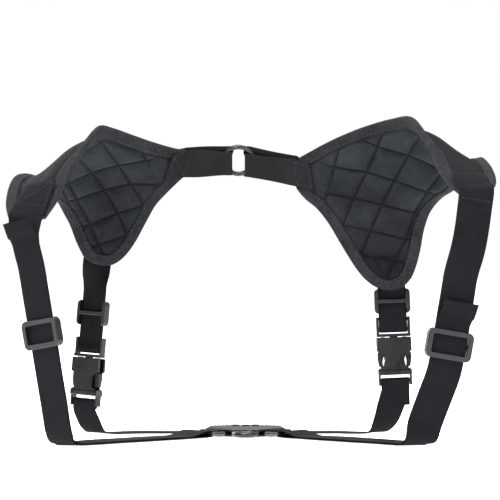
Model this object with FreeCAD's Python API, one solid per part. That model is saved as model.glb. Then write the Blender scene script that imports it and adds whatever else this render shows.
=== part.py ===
import FreeCAD, Part
import math
import os

# Double-shoulder saxophone harness, modelled as it sits when worn: two padded
# shoulder pads joined by a round ring between the shoulder blades, two 30 mm
# front straps with tri-glide adjusters, two 25 mm side straps with sliders and
# side-release buckles, and a leather yoke with a swivel snap hook that the four
# straps run to.  The lower straps lie on a flat surface below the pads.
# Units are millimetres.  +Z is up, the wearer faces -Y, and X runs across the
# shoulders.  The origin is midway between the shoulders, at the level where the
# pads rest on them.

os.makedirs("parts", exist_ok=True)
V = FreeCAD.Vector

# ------------------------------------------------------------ driving sizes
FRONT_WEB_W = 30.0        # front strap webbing width
SIDE_WEB_W = 25.0         # side strap webbing width
WEB_T = 1.1               # webbing thickness
PLY = 1.3                 # centre-to-centre distance of two plies lying together
REST_Z = -254.0           # level of the surface that the lower straps lie on

LINING_T = 1.4            # quilted lining, with its thin wadding
OUTER_T = 1.0             # outer fabric
FOAM_H_RIM = 0.25         # half thickness of the foam pocket at the rim
FOAM_H_MID = 2.6          # extra half thickness away from the rim
BIND_W = 9.5              # width of the edge binding on each face
BIND_T = 0.5              # binding tape thickness
BIND_GAP = 0.8          # room between the tape and the layers it folds over

RING_R = 13.35            # shoulder ring, centre line radius
RING_TUBE = 2.15          # shoulder ring, wire radius
RING_TILT = 28.0          # lean of the ring against the upper back, degrees
RING_C = V(-10.3, 75.0, -8.8)

TRI_W, TRI_H = 40.0, 25.0     # front tri-glide outline
SLD_W, SLD_H = 32.0, 22.0     # side slider outline

# pad outlines: edge curves through these points
L_NECK = [(-174.0, -60, -61.0), (-164.5, -50, -44.7), (-158.4, -38, -27.3), (-149.4, -24, -8.9), (-140.3, -10, 6.3), (-130.5, 2, 18.0), (-121.0, 20, 17.1), (-103.4, 42, 11.4), (-87.1, 56, 6.1), (-68.8, 68, 1.2), (-58.2, 73, -0.4)]
L_ARM = [(-204.9, -56, -60.1), (-207.7, -43, -50.5), (-207.7, -27, -39.0), (-205.4, -8, -28.8), (-202.5, 4, -25.2), (-194.9, 24, -23.9), (-185.5, 40, -27.7), (-177.4, 49.5, -36.2), (-170.6, 55, -42.8), (-165.6, 59, -52.5), (-160.4, 62.5, -63.6), (-153.5, 66, -82.8), (-148.2, 67, -93.5)]
L_FRONT = [(-174.0, -60, -61.0), (-189.2, -60.5, -63.1), (-204.9, -56, -60.1)]
L_BACK = [(-58.2, 73, -0.4), (-54.2, 75, -9.7), (-53.8, 76, -16.0), (-59.1, 76, -21.4), (-67.2, 75.5, -29.0), (-77.9, 75, -39.7), (-85.5, 74, -48.3), (-94.0, 73, -63.5), (-102.9, 72, -80.1), (-109.1, 71, -89.4), (-115.7, 70.5, -96.6), (-124.3, 70, -101.5), (-134.0, 69, -101.5), (-142.9, 68, -98.4), (-148.2, 67, -93.5)]
R_NECK = [(178.1, -62, -40.7), (169.3, -54, -32.0), (162.4, -43, -20.6), (157.3, -28, -3.9), (148.8, -12, 14.0), (139.2, 2, 25.9), (124.6, 22, 25.2), (107.7, 38, 21.1), (89.7, 52, 14.9), (67.4, 65, 5.1), (44.7, 73, -7.1)]
R_ARM = [(204.7, -58, -37.2), (209.1, -46, -31.0), (208.4, -29, -21.6), (204.4, -10, -13.0), (201.1, 3, -10.2), (196.5, 22, -13.8), (188.9, 38, -22.6), (179.9, 48, -33.6), (169.7, 55, -40.6), (160.3, 61, -52.9), (154.3, 65, -70.3), (151.4, 67, -87.2), (147.8, 68, -102.0), (142.9, 68.5, -114.0), (136.7, 69, -121.2)]
R_FRONT = [(178.1, -62, -40.7), (191.6, -62.5, -39.8), (204.7, -58, -37.2)]
R_BACK = [(44.7, 73, -7.1), (41.5, 75, -19.1), (42.1, 76, -31.7), (50.2, 75.5, -42.4), (60.0, 75, -50.5), (70.7, 74, -63.9), (81.4, 73, -81.8), (89.5, 72, -95.3), (96.6, 71.5, -106.0), (104.6, 71, -115.4), (113.5, 70.5, -121.6), (125.1, 70, -124.3), (136.7, 69, -121.2)]
# which point of the neck and arm edges lies on the shoulder ridge
L_RIDGE = (5, 4)
R_RIDGE = (5, 4)
V_RIDGE = 0.40


# ------------------------------------------------------------ small helpers
def unit(a):
    return a * (1.0 / a.Length)


def lerp(a, b, t):
    return a + (b - a) * t


def smooth(x):
    x = min(1.0, max(0.0, x))
    return x * x * (3.0 - 2.0 * x)


def catmull(points, per=24):
    """Dense polyline of a centripetal Catmull-Rom curve through the points."""
    p = [V(*q) if not isinstance(q, FreeCAD.Vector) else V(q) for q in points]
    p = [p[0] * 2 - p[1]] + p + [p[-1] * 2 - p[-2]]
    out = []
    for i in range(1, len(p) - 2):
        t = [0.0]
        for a, b in ((p[i - 1], p[i]), (p[i], p[i + 1]), (p[i + 1], p[i + 2])):
            t.append(t[-1] + max(1e-6, (b - a).Length) ** 0.5)
        for k in range(per):
            s = t[1] + (t[2] - t[1]) * k / per
            a1 = lerp(p[i - 1], p[i], (s - t[0]) / (t[1] - t[0]))
            a2 = lerp(p[i], p[i + 1], (s - t[1]) / (t[2] - t[1]))
            a3 = lerp(p[i + 1], p[i + 2], (s - t[2]) / (t[3] - t[2]))
            b1 = lerp(a1, a2, (s - t[0]) / (t[2] - t[0]))
            b2 = lerp(a2, a3, (s - t[1]) / (t[3] - t[1]))
            out.append(lerp(b1, b2, (s - t[1]) / (t[2] - t[1])))
    out.append(p[-2])
    return out


class Curve:
    """A polyline read by arc length, 0 to 1."""

    def __init__(self, points, key=None, at=None, per=24):
        self.p = catmull(points, per)
        self.s = [0.0]
        for a, b in zip(self.p, self.p[1:]):
            self.s.append(self.s[-1] + (b - a).Length)
        self.len = self.s[-1]
        self.key = None
        if key is not None:
            self.key = (at, self.s[key * per] / self.len)

    def __call__(self, t):
        t = min(1.0, max(0.0, t))
        if self.key:
            a, b = self.key
            # smooth monotone map that takes a to b
            d0, d1 = b / a, (1 - b) / (1 - a)
            m = 2 * d0 * d1 / (d0 + d1)
            if t < a:
                h, x, y0, y1, m0, m1 = a, t / a, 0.0, b, d0 + (d0 - m) * 0.5, m
            else:
                h, x, y0, y1, m0, m1 = 1 - a, (t - a) / (1 - a), b, 1.0, m, d1 + (d1 - m) * 0.5
            t = ((2 * x ** 3 - 3 * x * x + 1) * y0 + (x ** 3 - 2 * x * x + x) * h * m0
                 + (-2 * x ** 3 + 3 * x * x) * y1 + (x ** 3 - x * x) * h * m1)
        s = t * self.len
        lo, hi = 0, len(self.s) - 1
        while hi - lo > 1:
            m = (lo + hi) // 2
            if self.s[m] <= s:
                lo = m
            else:
                hi = m
        f = (s - self.s[lo]) / max(1e-9, self.s[hi] - self.s[lo])
        return lerp(self.p[lo], self.p[hi], f)


class Pad:
    """Four-sided shoulder pad.  u runs from the neck edge to the arm edge,
    v from the short front end over the shoulder ridge to the back."""

    def __init__(self, neck, arm, front, back, ridge, sign):
        self.neck = Curve(neck, ridge[0], V_RIDGE)
        self.arm = Curve(arm, ridge[1], V_RIDGE)
        self.front = Curve(front)
        self.back = Curve(back)
        self.sign = sign
        self.rim = []
        n = 70
        for i in range(n):
            self.rim.append(self.front(i / n))
        for i in range(n):
            self.rim.append(self.arm(i / n))
        for i in range(n):
            self.rim.append(self.back(1 - i / n))
        for i in range(n):
            self.rim.append(self.neck(1 - i / n))

    def at(self, u, v):
        a, b, c, d = self.front(0), self.front(1), self.back(0), self.back(1)
        return (self.front(u) * (1 - v) + self.back(u) * v + self.neck(v) * (1 - u) + self.arm(v) * u
                - (a * ((1 - u) * (1 - v)) + b * (u * (1 - v)) + c * ((1 - u) * v) + d * (u * v)))

    def frame(self, u, v):
        e = 0.02
        u0, u1 = max(0, u - e), min(1, u + e)
        v0, v1 = max(0, v - e), min(1, v + e)
        du = (self.at(u1, v) - self.at(u0, v)) * (1 / (u1 - u0))
        dv = (self.at(u, v1) - self.at(u, v0)) * (1 / (v1 - v0))
        n = unit(du.cross(dv)) * self.sign
        return self.at(u, v), du, dv, n

    def edge_distance(self, p):
        best = 1e9
        k = len(self.rim)
        for i in range(k):
            a, b = self.rim[i], self.rim[(i + 1) % k]
            ab = b - a
            t = min(1.0, max(0.0, (p - a).dot(ab) / max(1e-9, ab.dot(ab))))
            best = min(best, (p - a - ab * t).Length)
        return best

    def half(self, p):
        return FOAM_H_RIM + FOAM_H_MID * smooth((self.edge_distance(p) - 2.0) / 18.0)

    def find(self, x, z, v_min=V_RIDGE):
        """(u, v) of the point whose front view position is (x, z)."""
        best, bu, bv = 1e9, 0, 0
        step_u, step_v = 1 / 24.0, (1 - v_min) / 24.0
        cu, cv, ru, rv = 0.5, (1 + v_min) / 2, 0.5, (1 - v_min) / 2
        for _ in range(5):
            best = 1e9
            for i in range(13):
                for j in range(13):
                    u = min(1, max(0, cu - ru + 2 * ru * i / 12))
                    v = min(1, max(0, cv - rv + 2 * rv * j / 12))
                    q = self.at(u, v)
                    d = (q.x - x) ** 2 + (q.z - z) ** 2
                    if d < best:
                        best, bu, bv = d, u, v
            cu, cv, ru, rv = bu, bv, ru * 0.3, rv * 0.3
        return bu, bv


def facets(solid_points, quads):
    """Closed solid of flat triangles."""
    faces = []
    for q in quads:
        for t in ((q[0], q[1], q[2]), (q[0], q[2], q[3])):
            a, b, c = (solid_points[k] for k in t)
            if (b - a).cross(c - a).Length > 1e-6:
                faces.append(Part.Face(Part.makePolygon([a, b, c, a])))
    sol = Part.makeSolid(Part.makeShell(faces))
    if sol.Volume < 0:
        sol.reverse()
    return sol


def slab(low, high):
    """Closed solid between two grids of points that have the same layout."""
    nu, nv = len(low), len(low[0])
    pts = [q for row in low for q in row] + [q for row in high for q in row]
    n = nu * nv
    quads = []
    for i in range(nu - 1):
        for j in range(nv - 1):
            a = i * nv + j
            quads.append((a, a + 1, a + nv + 1, a + nv))
            quads.append((n + a, n + a + nv, n + a + nv + 1, n + a + 1))
    rim = ([j for j in range(nv - 1)] + [i * nv + nv - 1 for i in range(nu - 1)]
           + [(nu - 1) * nv + j for j in range(nv - 1, 0, -1)] + [i * nv for i in range(nu - 1, 0, -1)])
    for k in range(len(rim)):
        a, b = rim[k], rim[(k + 1) % len(rim)]
        quads.append((a, a + n, b + n, b))
    return facets(pts, quads)


def ribbon(st):
    """Flat strap solid through stations (centre, width dir, normal, width, thickness)."""
    wires = []
    for p, w, n, wd, t in st:
        a, b = w * (wd / 2), n * (t / 2)
        c = [p - a - b, p + a - b, p + a + b, p - a + b]
        wires.append(Part.makePolygon(c + [c[0]]))
    sol = Part.makeLoft(wires, True, True)
    if sol.Volume < 0:
        sol.reverse()
    return sol


def stations(keys, width, thick, per_deg=9.0, longest=22.0):
    """Ribbon stations along a smooth curve through keys of (point, width direction)."""
    pts = [k[0] for k in keys]
    per = 16
    dense = catmull(pts, per)
    raw = []
    for i, p in enumerate(dense):
        a, b = dense[max(0, i - 1)], dense[min(len(dense) - 1, i + 1)]
        t = unit(b - a)
        k, f = min(i // per, len(keys) - 2), (i - min(i // per, len(keys) - 2) * per) / per
        w = keys[k][1] * (1 - f) + keys[k + 1][1] * f
        w = unit(w - t * w.dot(t))
        raw.append((p, w, t))
    keep = [0]
    turned = run = 0.0
    for i in range(1, len(raw) - 1):
        run += (raw[i][0] - raw[i - 1][0]).Length
        c = max(-1, min(1, raw[i][2].dot(raw[keep[-1]][2])))
        d = max(-1, min(1, raw[i][1].dot(raw[keep[-1]][1])))
        turned = math.degrees(max(math.acos(c), math.acos(d)))
        if turned > per_deg or run > longest:
            keep.append(i)
            run = 0.0
    keep.append(len(raw) - 1)
    return [(raw[i][0], raw[i][1], raw[i][2]) for i in keep]


def finish_stations(raw, side, width, thick, offset=0.0):
    """Adds the normal and shifts each station along it."""
    out = []
    for p, w, t in raw:
        n = unit(w.cross(t)) * side
        out.append((p + n * offset, w, n, width, thick))
    return out


def save(name, shape):
    shape.exportStep("parts/%s.step" % name)
    print("%-26s valid=%s solids=%d vol=%.1f" % (name, shape.isValid(), len(shape.Solids), shape.Volume))


def place(shape, origin, xa, ya, za):
    """Moves a shape from its own axes to the given ones."""
    m = FreeCAD.Matrix(xa.x, ya.x, za.x, origin.x,
                       xa.y, ya.y, za.y, origin.y,
                       xa.z, ya.z, za.z, origin.z,
                       0, 0, 0, 1)
    s = shape.copy()
    s.Placement = FreeCAD.Placement(m).multiply(s.Placement)
    return s


def rbox(x0, x1, y0, y1, z0, z1, r=0.0, axis=None):
    """Box with the edges along one axis rounded, or all edges when axis is None."""
    b = Part.makeBox(x1 - x0, y1 - y0, z1 - z0, V(x0, y0, z0))
    if r <= 0:
        return b
    ed = []
    for e in b.Edges:
        d = e.Vertexes[1].Point - e.Vertexes[0].Point
        k = max(range(3), key=lambda i: abs(d[i]))
        if axis is None or k == axis:
            ed.append(e)
    return b.makeFillet(r, ed)


# ------------------------------------------------------------ pads
def pad_grid(pad, us, vs, fn):
    rows = []
    for u in us:
        row = []
        for v in vs:
            p, du, dv, n = pad.frame(u, v)
            row.append(p + n * fn(pad.half(p)))
        rows.append(row)
    return rows


def spaced(n, lo=0.0, hi=1.0):
    return [lo + (hi - lo) * i / (n - 1) for i in range(n)]


US = [0, .05, .1, .16, .24, .34, .44, .56, .66, .76, .84, .9, .95, 1]
VS = [0, .018, .036, .06, .09, .12, .155, .19, .225, .26, .295, .33, .365, .4, .435, .47, .505, .54, .575, .61, .645, .68, .715, .75, .785, .82, .855, .885, .915, .94, .965, .985, 1]


def build_pad(pad, tag):
    lo = pad_grid(pad, US, VS, lambda h: -(h + LINING_T))
    hi = pad_grid(pad, US, VS, lambda h: -h)
    save(tag + "_pad_lining", slab(lo, hi))
    lo = pad_grid(pad, US, VS, lambda h: h)
    hi = pad_grid(pad, US, VS, lambda h: h + OUTER_T)
    save(tag + "_pad_outer", slab(lo, hi))
    # the foam stops short of the rim
    lo = pad_grid(pad, US[1:-1], VS[1:-1], lambda h: -(h - 0.1))
    hi = pad_grid(pad, US[1:-1], VS[1:-1], lambda h: h - 0.1)
    save(tag + "_pad_foam", slab(lo, hi))
    turn = 1.0
    for u, w in zip(US, US[1:]):
        for v, x in zip(VS, VS[1:]):
            n = pad.frame(u, v)[3]
            turn = min(turn, n.dot(pad.frame(w, v)[3]), n.dot(pad.frame(u, x)[3]))
    print(tag, "pad, least agreement of neighbouring normals", round(turn, 3))


def inset(pad, u, v, d):
    """Moves (u, v) inwards so that the unit square's rim goes d mm inside the pad."""
    def need(u, v, along_u):
        p, du, dv, n = pad.frame(u, v)
        area = du.cross(dv).Length
        return d * (dv.Length if along_u else du.Length) / area
    a = min(0.3, need(0.0, v, True))
    b = min(0.3, need(1.0, v, True))
    c = min(0.3, need(u, 0.0, False))
    e = min(0.3, need(u, 1.0, False))
    return a + u * (1 - a - b), c + v * (1 - c - e)


def build_binding(pad, tag):
    """Folded tape round the whole rim: four ruled runs of one U section."""
    sides = []
    n = 34
    corner = {}
    def outward(u, v):
        p, du, dv, nn = pad.frame(u, v)
        return p, du, dv, nn
    def tout(u, v, side):
        p, du, dv, nn = pad.frame(u, v)
        t = dv if side in ("n", "a") else du
        w = {"n": du * -1, "a": du, "f": dv * -1, "b": dv}[side]
        t = unit(t)
        w = w - t * w.dot(t)
        return unit(w)
    runs = [("f", [(u, 0.0) for u in US]),
            ("a", [(1.0, v) for v in VS]),
            ("b", [(u, 1.0) for u in reversed(US)]),
            ("n", [(0.0, v) for v in reversed(VS)])]
    secs = []
    for k, (side, uv) in enumerate(runs):
        prev, nxt = runs[k - 1][0], runs[(k + 1) % 4][0]
        row = []
        for i, (u, v) in enumerate(uv):
            p, du, dv, nn = pad.frame(u, v)
            o = tout(u, v, side)
            n = len(uv) - 1
            if i == 0 or i == n:
                o2 = tout(u, v, prev if i == 0 else nxt)
                s = o + o2
                o = s * (1.0 / max(0.6, 1 + o.dot(o2)))
            pts = []
            e = BIND_GAP + BIND_T
            mid = inset(pad, u, v, BIND_W * 0.5)
            inn = inset(pad, u, v, BIND_W)
            pm, _, _, nm = pad.frame(*mid)
            pi, _, _, ni = pad.frame(*inn)
            h0, hm, hi = pad.half(p), pad.half(pm), pad.half(pi)
            top = [(p + o * e, nn, h0), (pm, nm, hm), (pi, ni, hi)]
            inner = [(p + o * BIND_GAP, nn, h0), (pm, nm, hm), (pi, ni, hi)]
            for q, m, h in top:
                pts.append(q + m * (h + OUTER_T + BIND_GAP + BIND_T))
            for q, m, h in reversed(inner):
                pts.append(q + m * (h + OUTER_T + BIND_GAP))
            for q, m, h in inner:
                pts.append(q - m * (h + LINING_T + BIND_GAP * 1.5))
            for q, m, h in reversed(top):
                pts.append(q - m * (h + LINING_T + BIND_GAP * 1.5 + BIND_T))
            row.append(pts)
        secs.append(row)
    loop = [sec for row in secs for sec in row[:-1]]
    m = len(loop[0])
    pts = [q for sec in loop for q in sec]
    quads = []
    for k in range(len(loop)):
        a, b = k * m, ((k + 1) % len(loop)) * m
        for j in range(m):
            quads.append((a + j, a + (j + 1) % m, b + (j + 1) % m, b + j))
    sol = facets(pts, quads)
    save(tag + "_pad_binding", sol)


LP = Pad(L_NECK, L_ARM, L_FRONT, L_BACK, L_RIDGE, -1)
RP = Pad(R_NECK, R_ARM, R_FRONT, R_BACK, R_RIDGE, 1)
build_pad(LP, "left")
build_binding(LP, "left")
build_pad(RP, "right")
build_binding(RP, "right")

ZUP = V(0, 0, 1)


def cyl(r, h, p, d):
    return Part.makeCylinder(r, h, p, d)


def on_pad(pad, u, v, wd, face, width, extra=0.0):
    """Strap key lying on a pad face (+1 outer, -1 lining): point and width direction."""
    p, du, dv, n = pad.frame(u, v)
    w = unit(wd - n * wd.dot(n))
    n = n * face
    a11, a12, a22 = du.dot(du), du.dot(dv), dv.dot(dv)
    det = a11 * a22 - a12 * a12
    high = -1e9
    for k in range(-4, 5):
        step = w * (k * width / 8.0)
        b1, b2 = du.dot(step), dv.dot(step)
        uu, vv = u + (b1 * a22 - b2 * a12) / det, v + (b2 * a11 - b1 * a12) / det
        if -0.02 <= uu <= 1.02 and -0.02 <= vv <= 1.02:
            uu, vv = min(1.0, max(0.0, uu)), min(1.0, max(0.0, vv))
            q = pad.at(uu, vv)
            h = pad.half(q) + (OUTER_T if face > 0 else LINING_T)
            if pad.edge_distance(q) < BIND_W + 5.0:
                h += BIND_GAP * (1.0 if face > 0 else 1.5) + BIND_T
            high = max(high, (q - p).dot(n) + h)
    return p + n * (high + WEB_T / 2 + 0.55 + extra), w


def sewn(pad, targets, off_mid, off_end, side):
    """Strap keys lying on a pad face: (x, z, width direction) in front view, or (u, v)."""
    keys = []
    for k, (u, v, w) in enumerate(targets):
        p, du, dv, n = pad.frame(u, v)
        f = k / max(1, len(targets) - 1)
        keys.append((p + n * (side * (off_mid + (off_end - off_mid) * f)), w, n * side))
    return keys


def ply(st, off):
    return [(p + n * off, w, n, wd, t) for p, w, n, wd, t in st]


def wrap(c, w, n, d, r, width, thick, steps=6):
    """Half turn round a bar at c: starts on the +n side, goes by +d, ends on the -n side."""
    out = []
    for i in range(steps + 1):
        a = math.pi * i / steps
        o = n * math.cos(a) + d * math.sin(a)
        out.append((c + o * r, w, o, width, thick))
    return out


def yaw(deg):
    """Width direction and outward normal of a hanging strap turned by deg."""
    a = math.radians(deg)
    return V(math.cos(a), math.sin(a), 0), V(math.sin(a), -math.cos(a), 0)


def path_stations(keys, side, width, thick, **kw):
    return finish_stations(stations(keys, width, thick, **kw), side, width, thick)


def along(a, b, t):
    return a + (b - a) * t


# ------------------------------------------------------------ front straps
# the yoke lies on the rest surface, its middle at YOKE_C
YOKE_C = V(-4.0, 75.0, REST_Z)
BAR_R = 1.6
RING_Z = REST_Z + 2 * WEB_T + BAR_R - 0.5       # square ring wire centre height
WR = BAR_R + 0.2 + WEB_T / 2                    # ply centre distance from a wrapped bar


def front_strap(pad, tag, sew_uv, yaw_deg, line, land, ring_bar, head, tail_z):
    w, n = yaw(yaw_deg)
    keys = []
    for u, v, off, wv in sew_uv:
        keys.append(on_pad(pad, u, v, wv, 1, FRONT_WEB_W))
    for q in line:
        keys.append((V(*q), w))
    for q, wq in land:
        keys.append((V(*q), unit(wq)))
    # last run on the surface, level with the top ply, rising over the ring bar
    hw = unit(V(head.y, -head.x, 0))
    if hw.dot(w) < 0:
        hw = hw * -1
    top = REST_Z + 2.05
    for d in (70.0, 40.0, 22.0):
        keys.append((V(ring_bar.x, ring_bar.y, top) - head * d, hw))
    keys.append((V(ring_bar.x, ring_bar.y, RING_Z + WR) - head * 8.0, hw))
    keys.append((V(ring_bar.x, ring_bar.y, RING_Z + WR), hw))
    main = path_stations(keys, 1, FRONT_WEB_W, WEB_T)
    if main[len(main) // 3][2].dot(n) < 0:
        main = [(p, ww, nn * -1, a, b) for p, ww, nn, a, b in main]
    # lower ply: back from the ring, under the top ply, up through the tri-glide
    back = []
    for p, ww, nn, a, b in main:
        q = p + nn * PLY
        if abs(nn.z) > 0.9:
            q.z = REST_Z + 0.1 + WEB_T / 2
        back.append((q, ww, nn * -1, a, b))
    c = V(ring_bar.x, ring_bar.y, RING_Z)
    turn = wrap(c, hw, ZUP, head, WR, FRONT_WEB_W, WEB_T)
    turn = [(p, main[-1][1], o * (1 if main[-1][2].z > 0 else -1), a, b) for p, ww, o, a, b in turn]
    first = min(i for i in range(len(back)) if back[i][0].z < tail_z)
    hi, lo = back[first - 1], back[first]
    f = (tail_z - lo[0].z) / (hi[0].z - lo[0].z)
    end = (lerp(lo[0], hi[0], f), unit(lerp(lo[1], hi[1], f)), unit(lerp(lo[2], hi[2], f)), FRONT_WEB_W, WEB_T)
    ret = list(reversed(back[first:])) + [end]
    ret = [s for s in ret if (V(s[0].x, s[0].y, 0) - V(c.x, c.y, 0)).Length > 4.0 or s[0].z > REST_Z + 20]
    st = main[:-1] + turn + ret
    # the tail leaves the main ply a little, and ends in a folded hem
    e = end
    t = unit(hi[0] - lo[0])
    st.append((e[0] + t * 5.0 - e[2] * 0.5, e[1], e[2], FRONT_WEB_W, WEB_T))
    st.append((e[0] + t * 6.0 - e[2] * 1.1, e[1], e[2], FRONT_WEB_W, WEB_T * 2.1))
    st.append((e[0] + t * 19.0 - e[2] * 2.6, e[1], e[2], FRONT_WEB_W, WEB_T * 2.1))
    save(tag + "_front_strap", ribbon(st))
    return main


def rounded_plate(w, h, r, z0, z1):
    """Rectangle with round corners, extruded in Z."""
    box = Part.makeBox(w, h, z1 - z0, V(-w / 2, -h / 2, z0))
    return box.makeFillet(r, [e for e in box.Edges if abs(e.Vertexes[0].Z - e.Vertexes[1].Z) > 1e-3])


def slide_frame(w, h, rail, bar, clear_front, clear_back, mid_front, corner):
    """Three-bar slide.  Its own axes: X across the strap, Y up it, Z outward.
    The two outer bars lie on one side of the webbing and the middle bar on the other."""
    tb = 2.2
    zf = clear_front
    zb = -clear_back
    outer_z = (zb - tb, zb) if mid_front else (zf, zf + tb)
    mid_z = (zf, zf + tb) if mid_front else (zb - tb, zb)
    z0, z1 = zb - tb, zf + tb
    body = rounded_plate(w, h, corner, z0, z1)
    rim = [e for e in body.Edges if abs(e.Vertexes[0].Z - e.Vertexes[-1].Z) < 1e-6]
    body = body.makeFillet(0.8, rim)
    body = body.cut(rounded_plate(w - 2 * rail, h - 2 * bar, 1.6, z0 - 1, z1 + 1))
    # the webbing passes the outer bars on one side only
    gap = w / 2 - rail
    lo, hi = (outer_z[1], z1 + 1) if mid_front else (z0 - 1, outer_z[0])
    body = body.cut(Part.makeBox(2 * gap, h + 2, hi - lo, V(-gap, -h / 2 - 1, lo)))
    body = body.fuse(rbox(-gap - rail * 0.4, gap + rail * 0.4, -bar / 2, bar / 2, mid_z[0], mid_z[1], 0.7, 0))
    return body.removeSplitter()


def axes_on(a, b, n):
    """Up direction, width direction and normal on the straight run from a down to b."""
    up = unit(a - b)
    nn = unit(n - up * n.dot(up))
    return up.cross(nn), up, nn


# left front strap
LW, LN = yaw(-40.0)
La, Lb = V(-185.1, -70.0, -99.1), V(-169.6, -73.5, -190.3)
l_line = [(-189.8, -67.5, -80.5), tuple(La), tuple(along(La, Lb, 0.08)), tuple(along(La, Lb, 0.5)), tuple(along(La, Lb, 0.94)), tuple(Lb), tuple(along(La, Lb, 1.3))]
l_head = unit(V(0.714, 0.70, 0))
l_chamfer = YOKE_C - l_head * 35.0
l_bar = l_chamfer - l_head * 21.2
l_land = [((-161.2, -75.0, REST_Z + 13.0), LW), ((-158.3, -73.3, REST_Z + 5.0), LW), ((-152.0, -69.0, REST_Z + 2.1), V(.70, -.714, 0))]
l_land += [(tuple(l_bar - l_head * d + V(0, 0, 2.05)), V(.70, -.714, 0)) for d in (133.0, 95.0)]
l_main = front_strap(LP, "left", [(0.42, 0.17, 4.9, V(.86, -.15, .4)), (0.45, 0.10, 4.7, V(.88, -.2, .25)), (0.48, 0.045, 4.3, V(.9, -.25, .12)), (0.5, 0.0, 3.4, V(.88, -.4, .02))],
                    -40.0, l_line, l_land, l_bar, l_head, -82.0)

# right front strap
RW, RN = yaw(12.0)
Ra, Rb = V(178.5, -74.0, -107.6), V(164.5, -75.0, -188.5)
r_line = [(188.6, -69.5, -62.0), (185.6, -72.5, -82.0), tuple(Ra), tuple(along(Ra, Rb, 0.08)), tuple(along(Ra, Rb, 0.5)), tuple(along(Ra, Rb, 0.94)), tuple(Rb), (157.6, -75.0, -208.0)]
r_head = unit(V(-0.70, 0.714, 0))
r_chamfer = YOKE_C - r_head * 35.0
r_bar = r_chamfer - r_head * 21.2
r_land = [((148.5, -75.0, -231.0), RW), ((144.3, -74.0, REST_Z + 8.0), RW + V(-.05, .1, 0)), ((138.8, -69.5, REST_Z + 2.5), V(.76, .65, 0))]
r_land += [(tuple(r_bar - r_head * d + V(0, 0, 2.05)), V(.714, .70, 0)) for d in (133.0, 95.0)]
r_main = front_strap(RP, "right", [(0.5, 0.115, 4.9, V(.93, .05, .1)), (0.5, 0.07, 4.6, V(.95, .05, .05)), (0.5, 0.03, 4.1, V(.97, .1, .02)), (0.5, 0.0, 3.4, V(.98, .15, .02))],
                    12.0, r_line, r_land, r_bar, r_head, -151.0)

# tri-glides on the straight runs
TRI = slide_frame(TRI_W, TRI_H, 4.2, 4.4, PLY + WEB_T / 2 + 0.35, WEB_T / 2 + 0.35, False, 5.2)
for tag, a, b, n, z in (("left", La, Lb, LN, -159.5), ("right", Ra, Rb, RN, -169.1)):
    xa, up, nn = axes_on(a, b, n)
    c = along(a, b, (z - a.z) / (b.z - a.z))
    save(tag + "_front_triglide", place(TRI, c, xa, up, nn))
    print("AXIS", tag, "triglide", tuple(round(q, 4) for q in up), tuple(round(q, 3) for q in c))

# square rings and their keepers at the yoke
for tag, bar, head, cham in (("left", l_bar, l_head, l_chamfer), ("right", r_bar, r_head, r_chamfer)):
    w = unit(V(head.y, -head.x, 0))
    c0 = V(bar.x, bar.y, RING_Z)
    c1 = c0 + head * 12.2
    hw = 17.3
    ring = None
    pts = [c0 - w * hw, c0 + w * hw, c1 + w * hw, c1 - w * hw]
    for i in range(4):
        a, b = pts[i], pts[(i + 1) % 4]
        seg = cyl(BAR_R, (b - a).Length, a, unit(b - a)).fuse(Part.makeSphere(BAR_R, a))
        ring = seg if ring is None else ring.fuse(seg)
    save(tag + "_square_ring", ring.removeSplitter())
    # keeper: both plies run from the ring's inner bar into the yoke
    kw = 24.0
    top_in, low_in = REST_Z + 1.7 + 0.2 + WEB_T * 1.5 + 0.2, REST_Z + 1.7 + 0.1 + WEB_T * 0.5
    far = 21.0
    st = [(V(0, 0, low_in) + V(c1.x, c1.y, 0) + head * far, w, ZUP * -1, kw, WEB_T),
          (V(0, 0, low_in) + V(c1.x, c1.y, 0) + head * 8.0, w, ZUP * -1, kw, WEB_T),
          (V(c1.x, c1.y, RING_Z - WR) + head * 2.5, w, ZUP * -1, kw, WEB_T)]
    for i in range(7):
        ang = math.pi * i / 6
        o = ZUP * (-math.cos(ang)) - head * math.sin(ang)
        st.append((c1 + o * WR, w, o, kw, WEB_T))
    st += [(V(c1.x, c1.y, RING_Z + WR) + head * 2.5, w, ZUP, kw, WEB_T),
           (V(0, 0, top_in) + V(c1.x, c1.y, 0) + head * 8.0, w, ZUP, kw, WEB_T),
           (V(0, 0, top_in) + V(c1.x, c1.y, 0) + head * far, w, ZUP, kw, WEB_T)]
    save(tag + "_yoke_keeper", ribbon(st))

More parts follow.
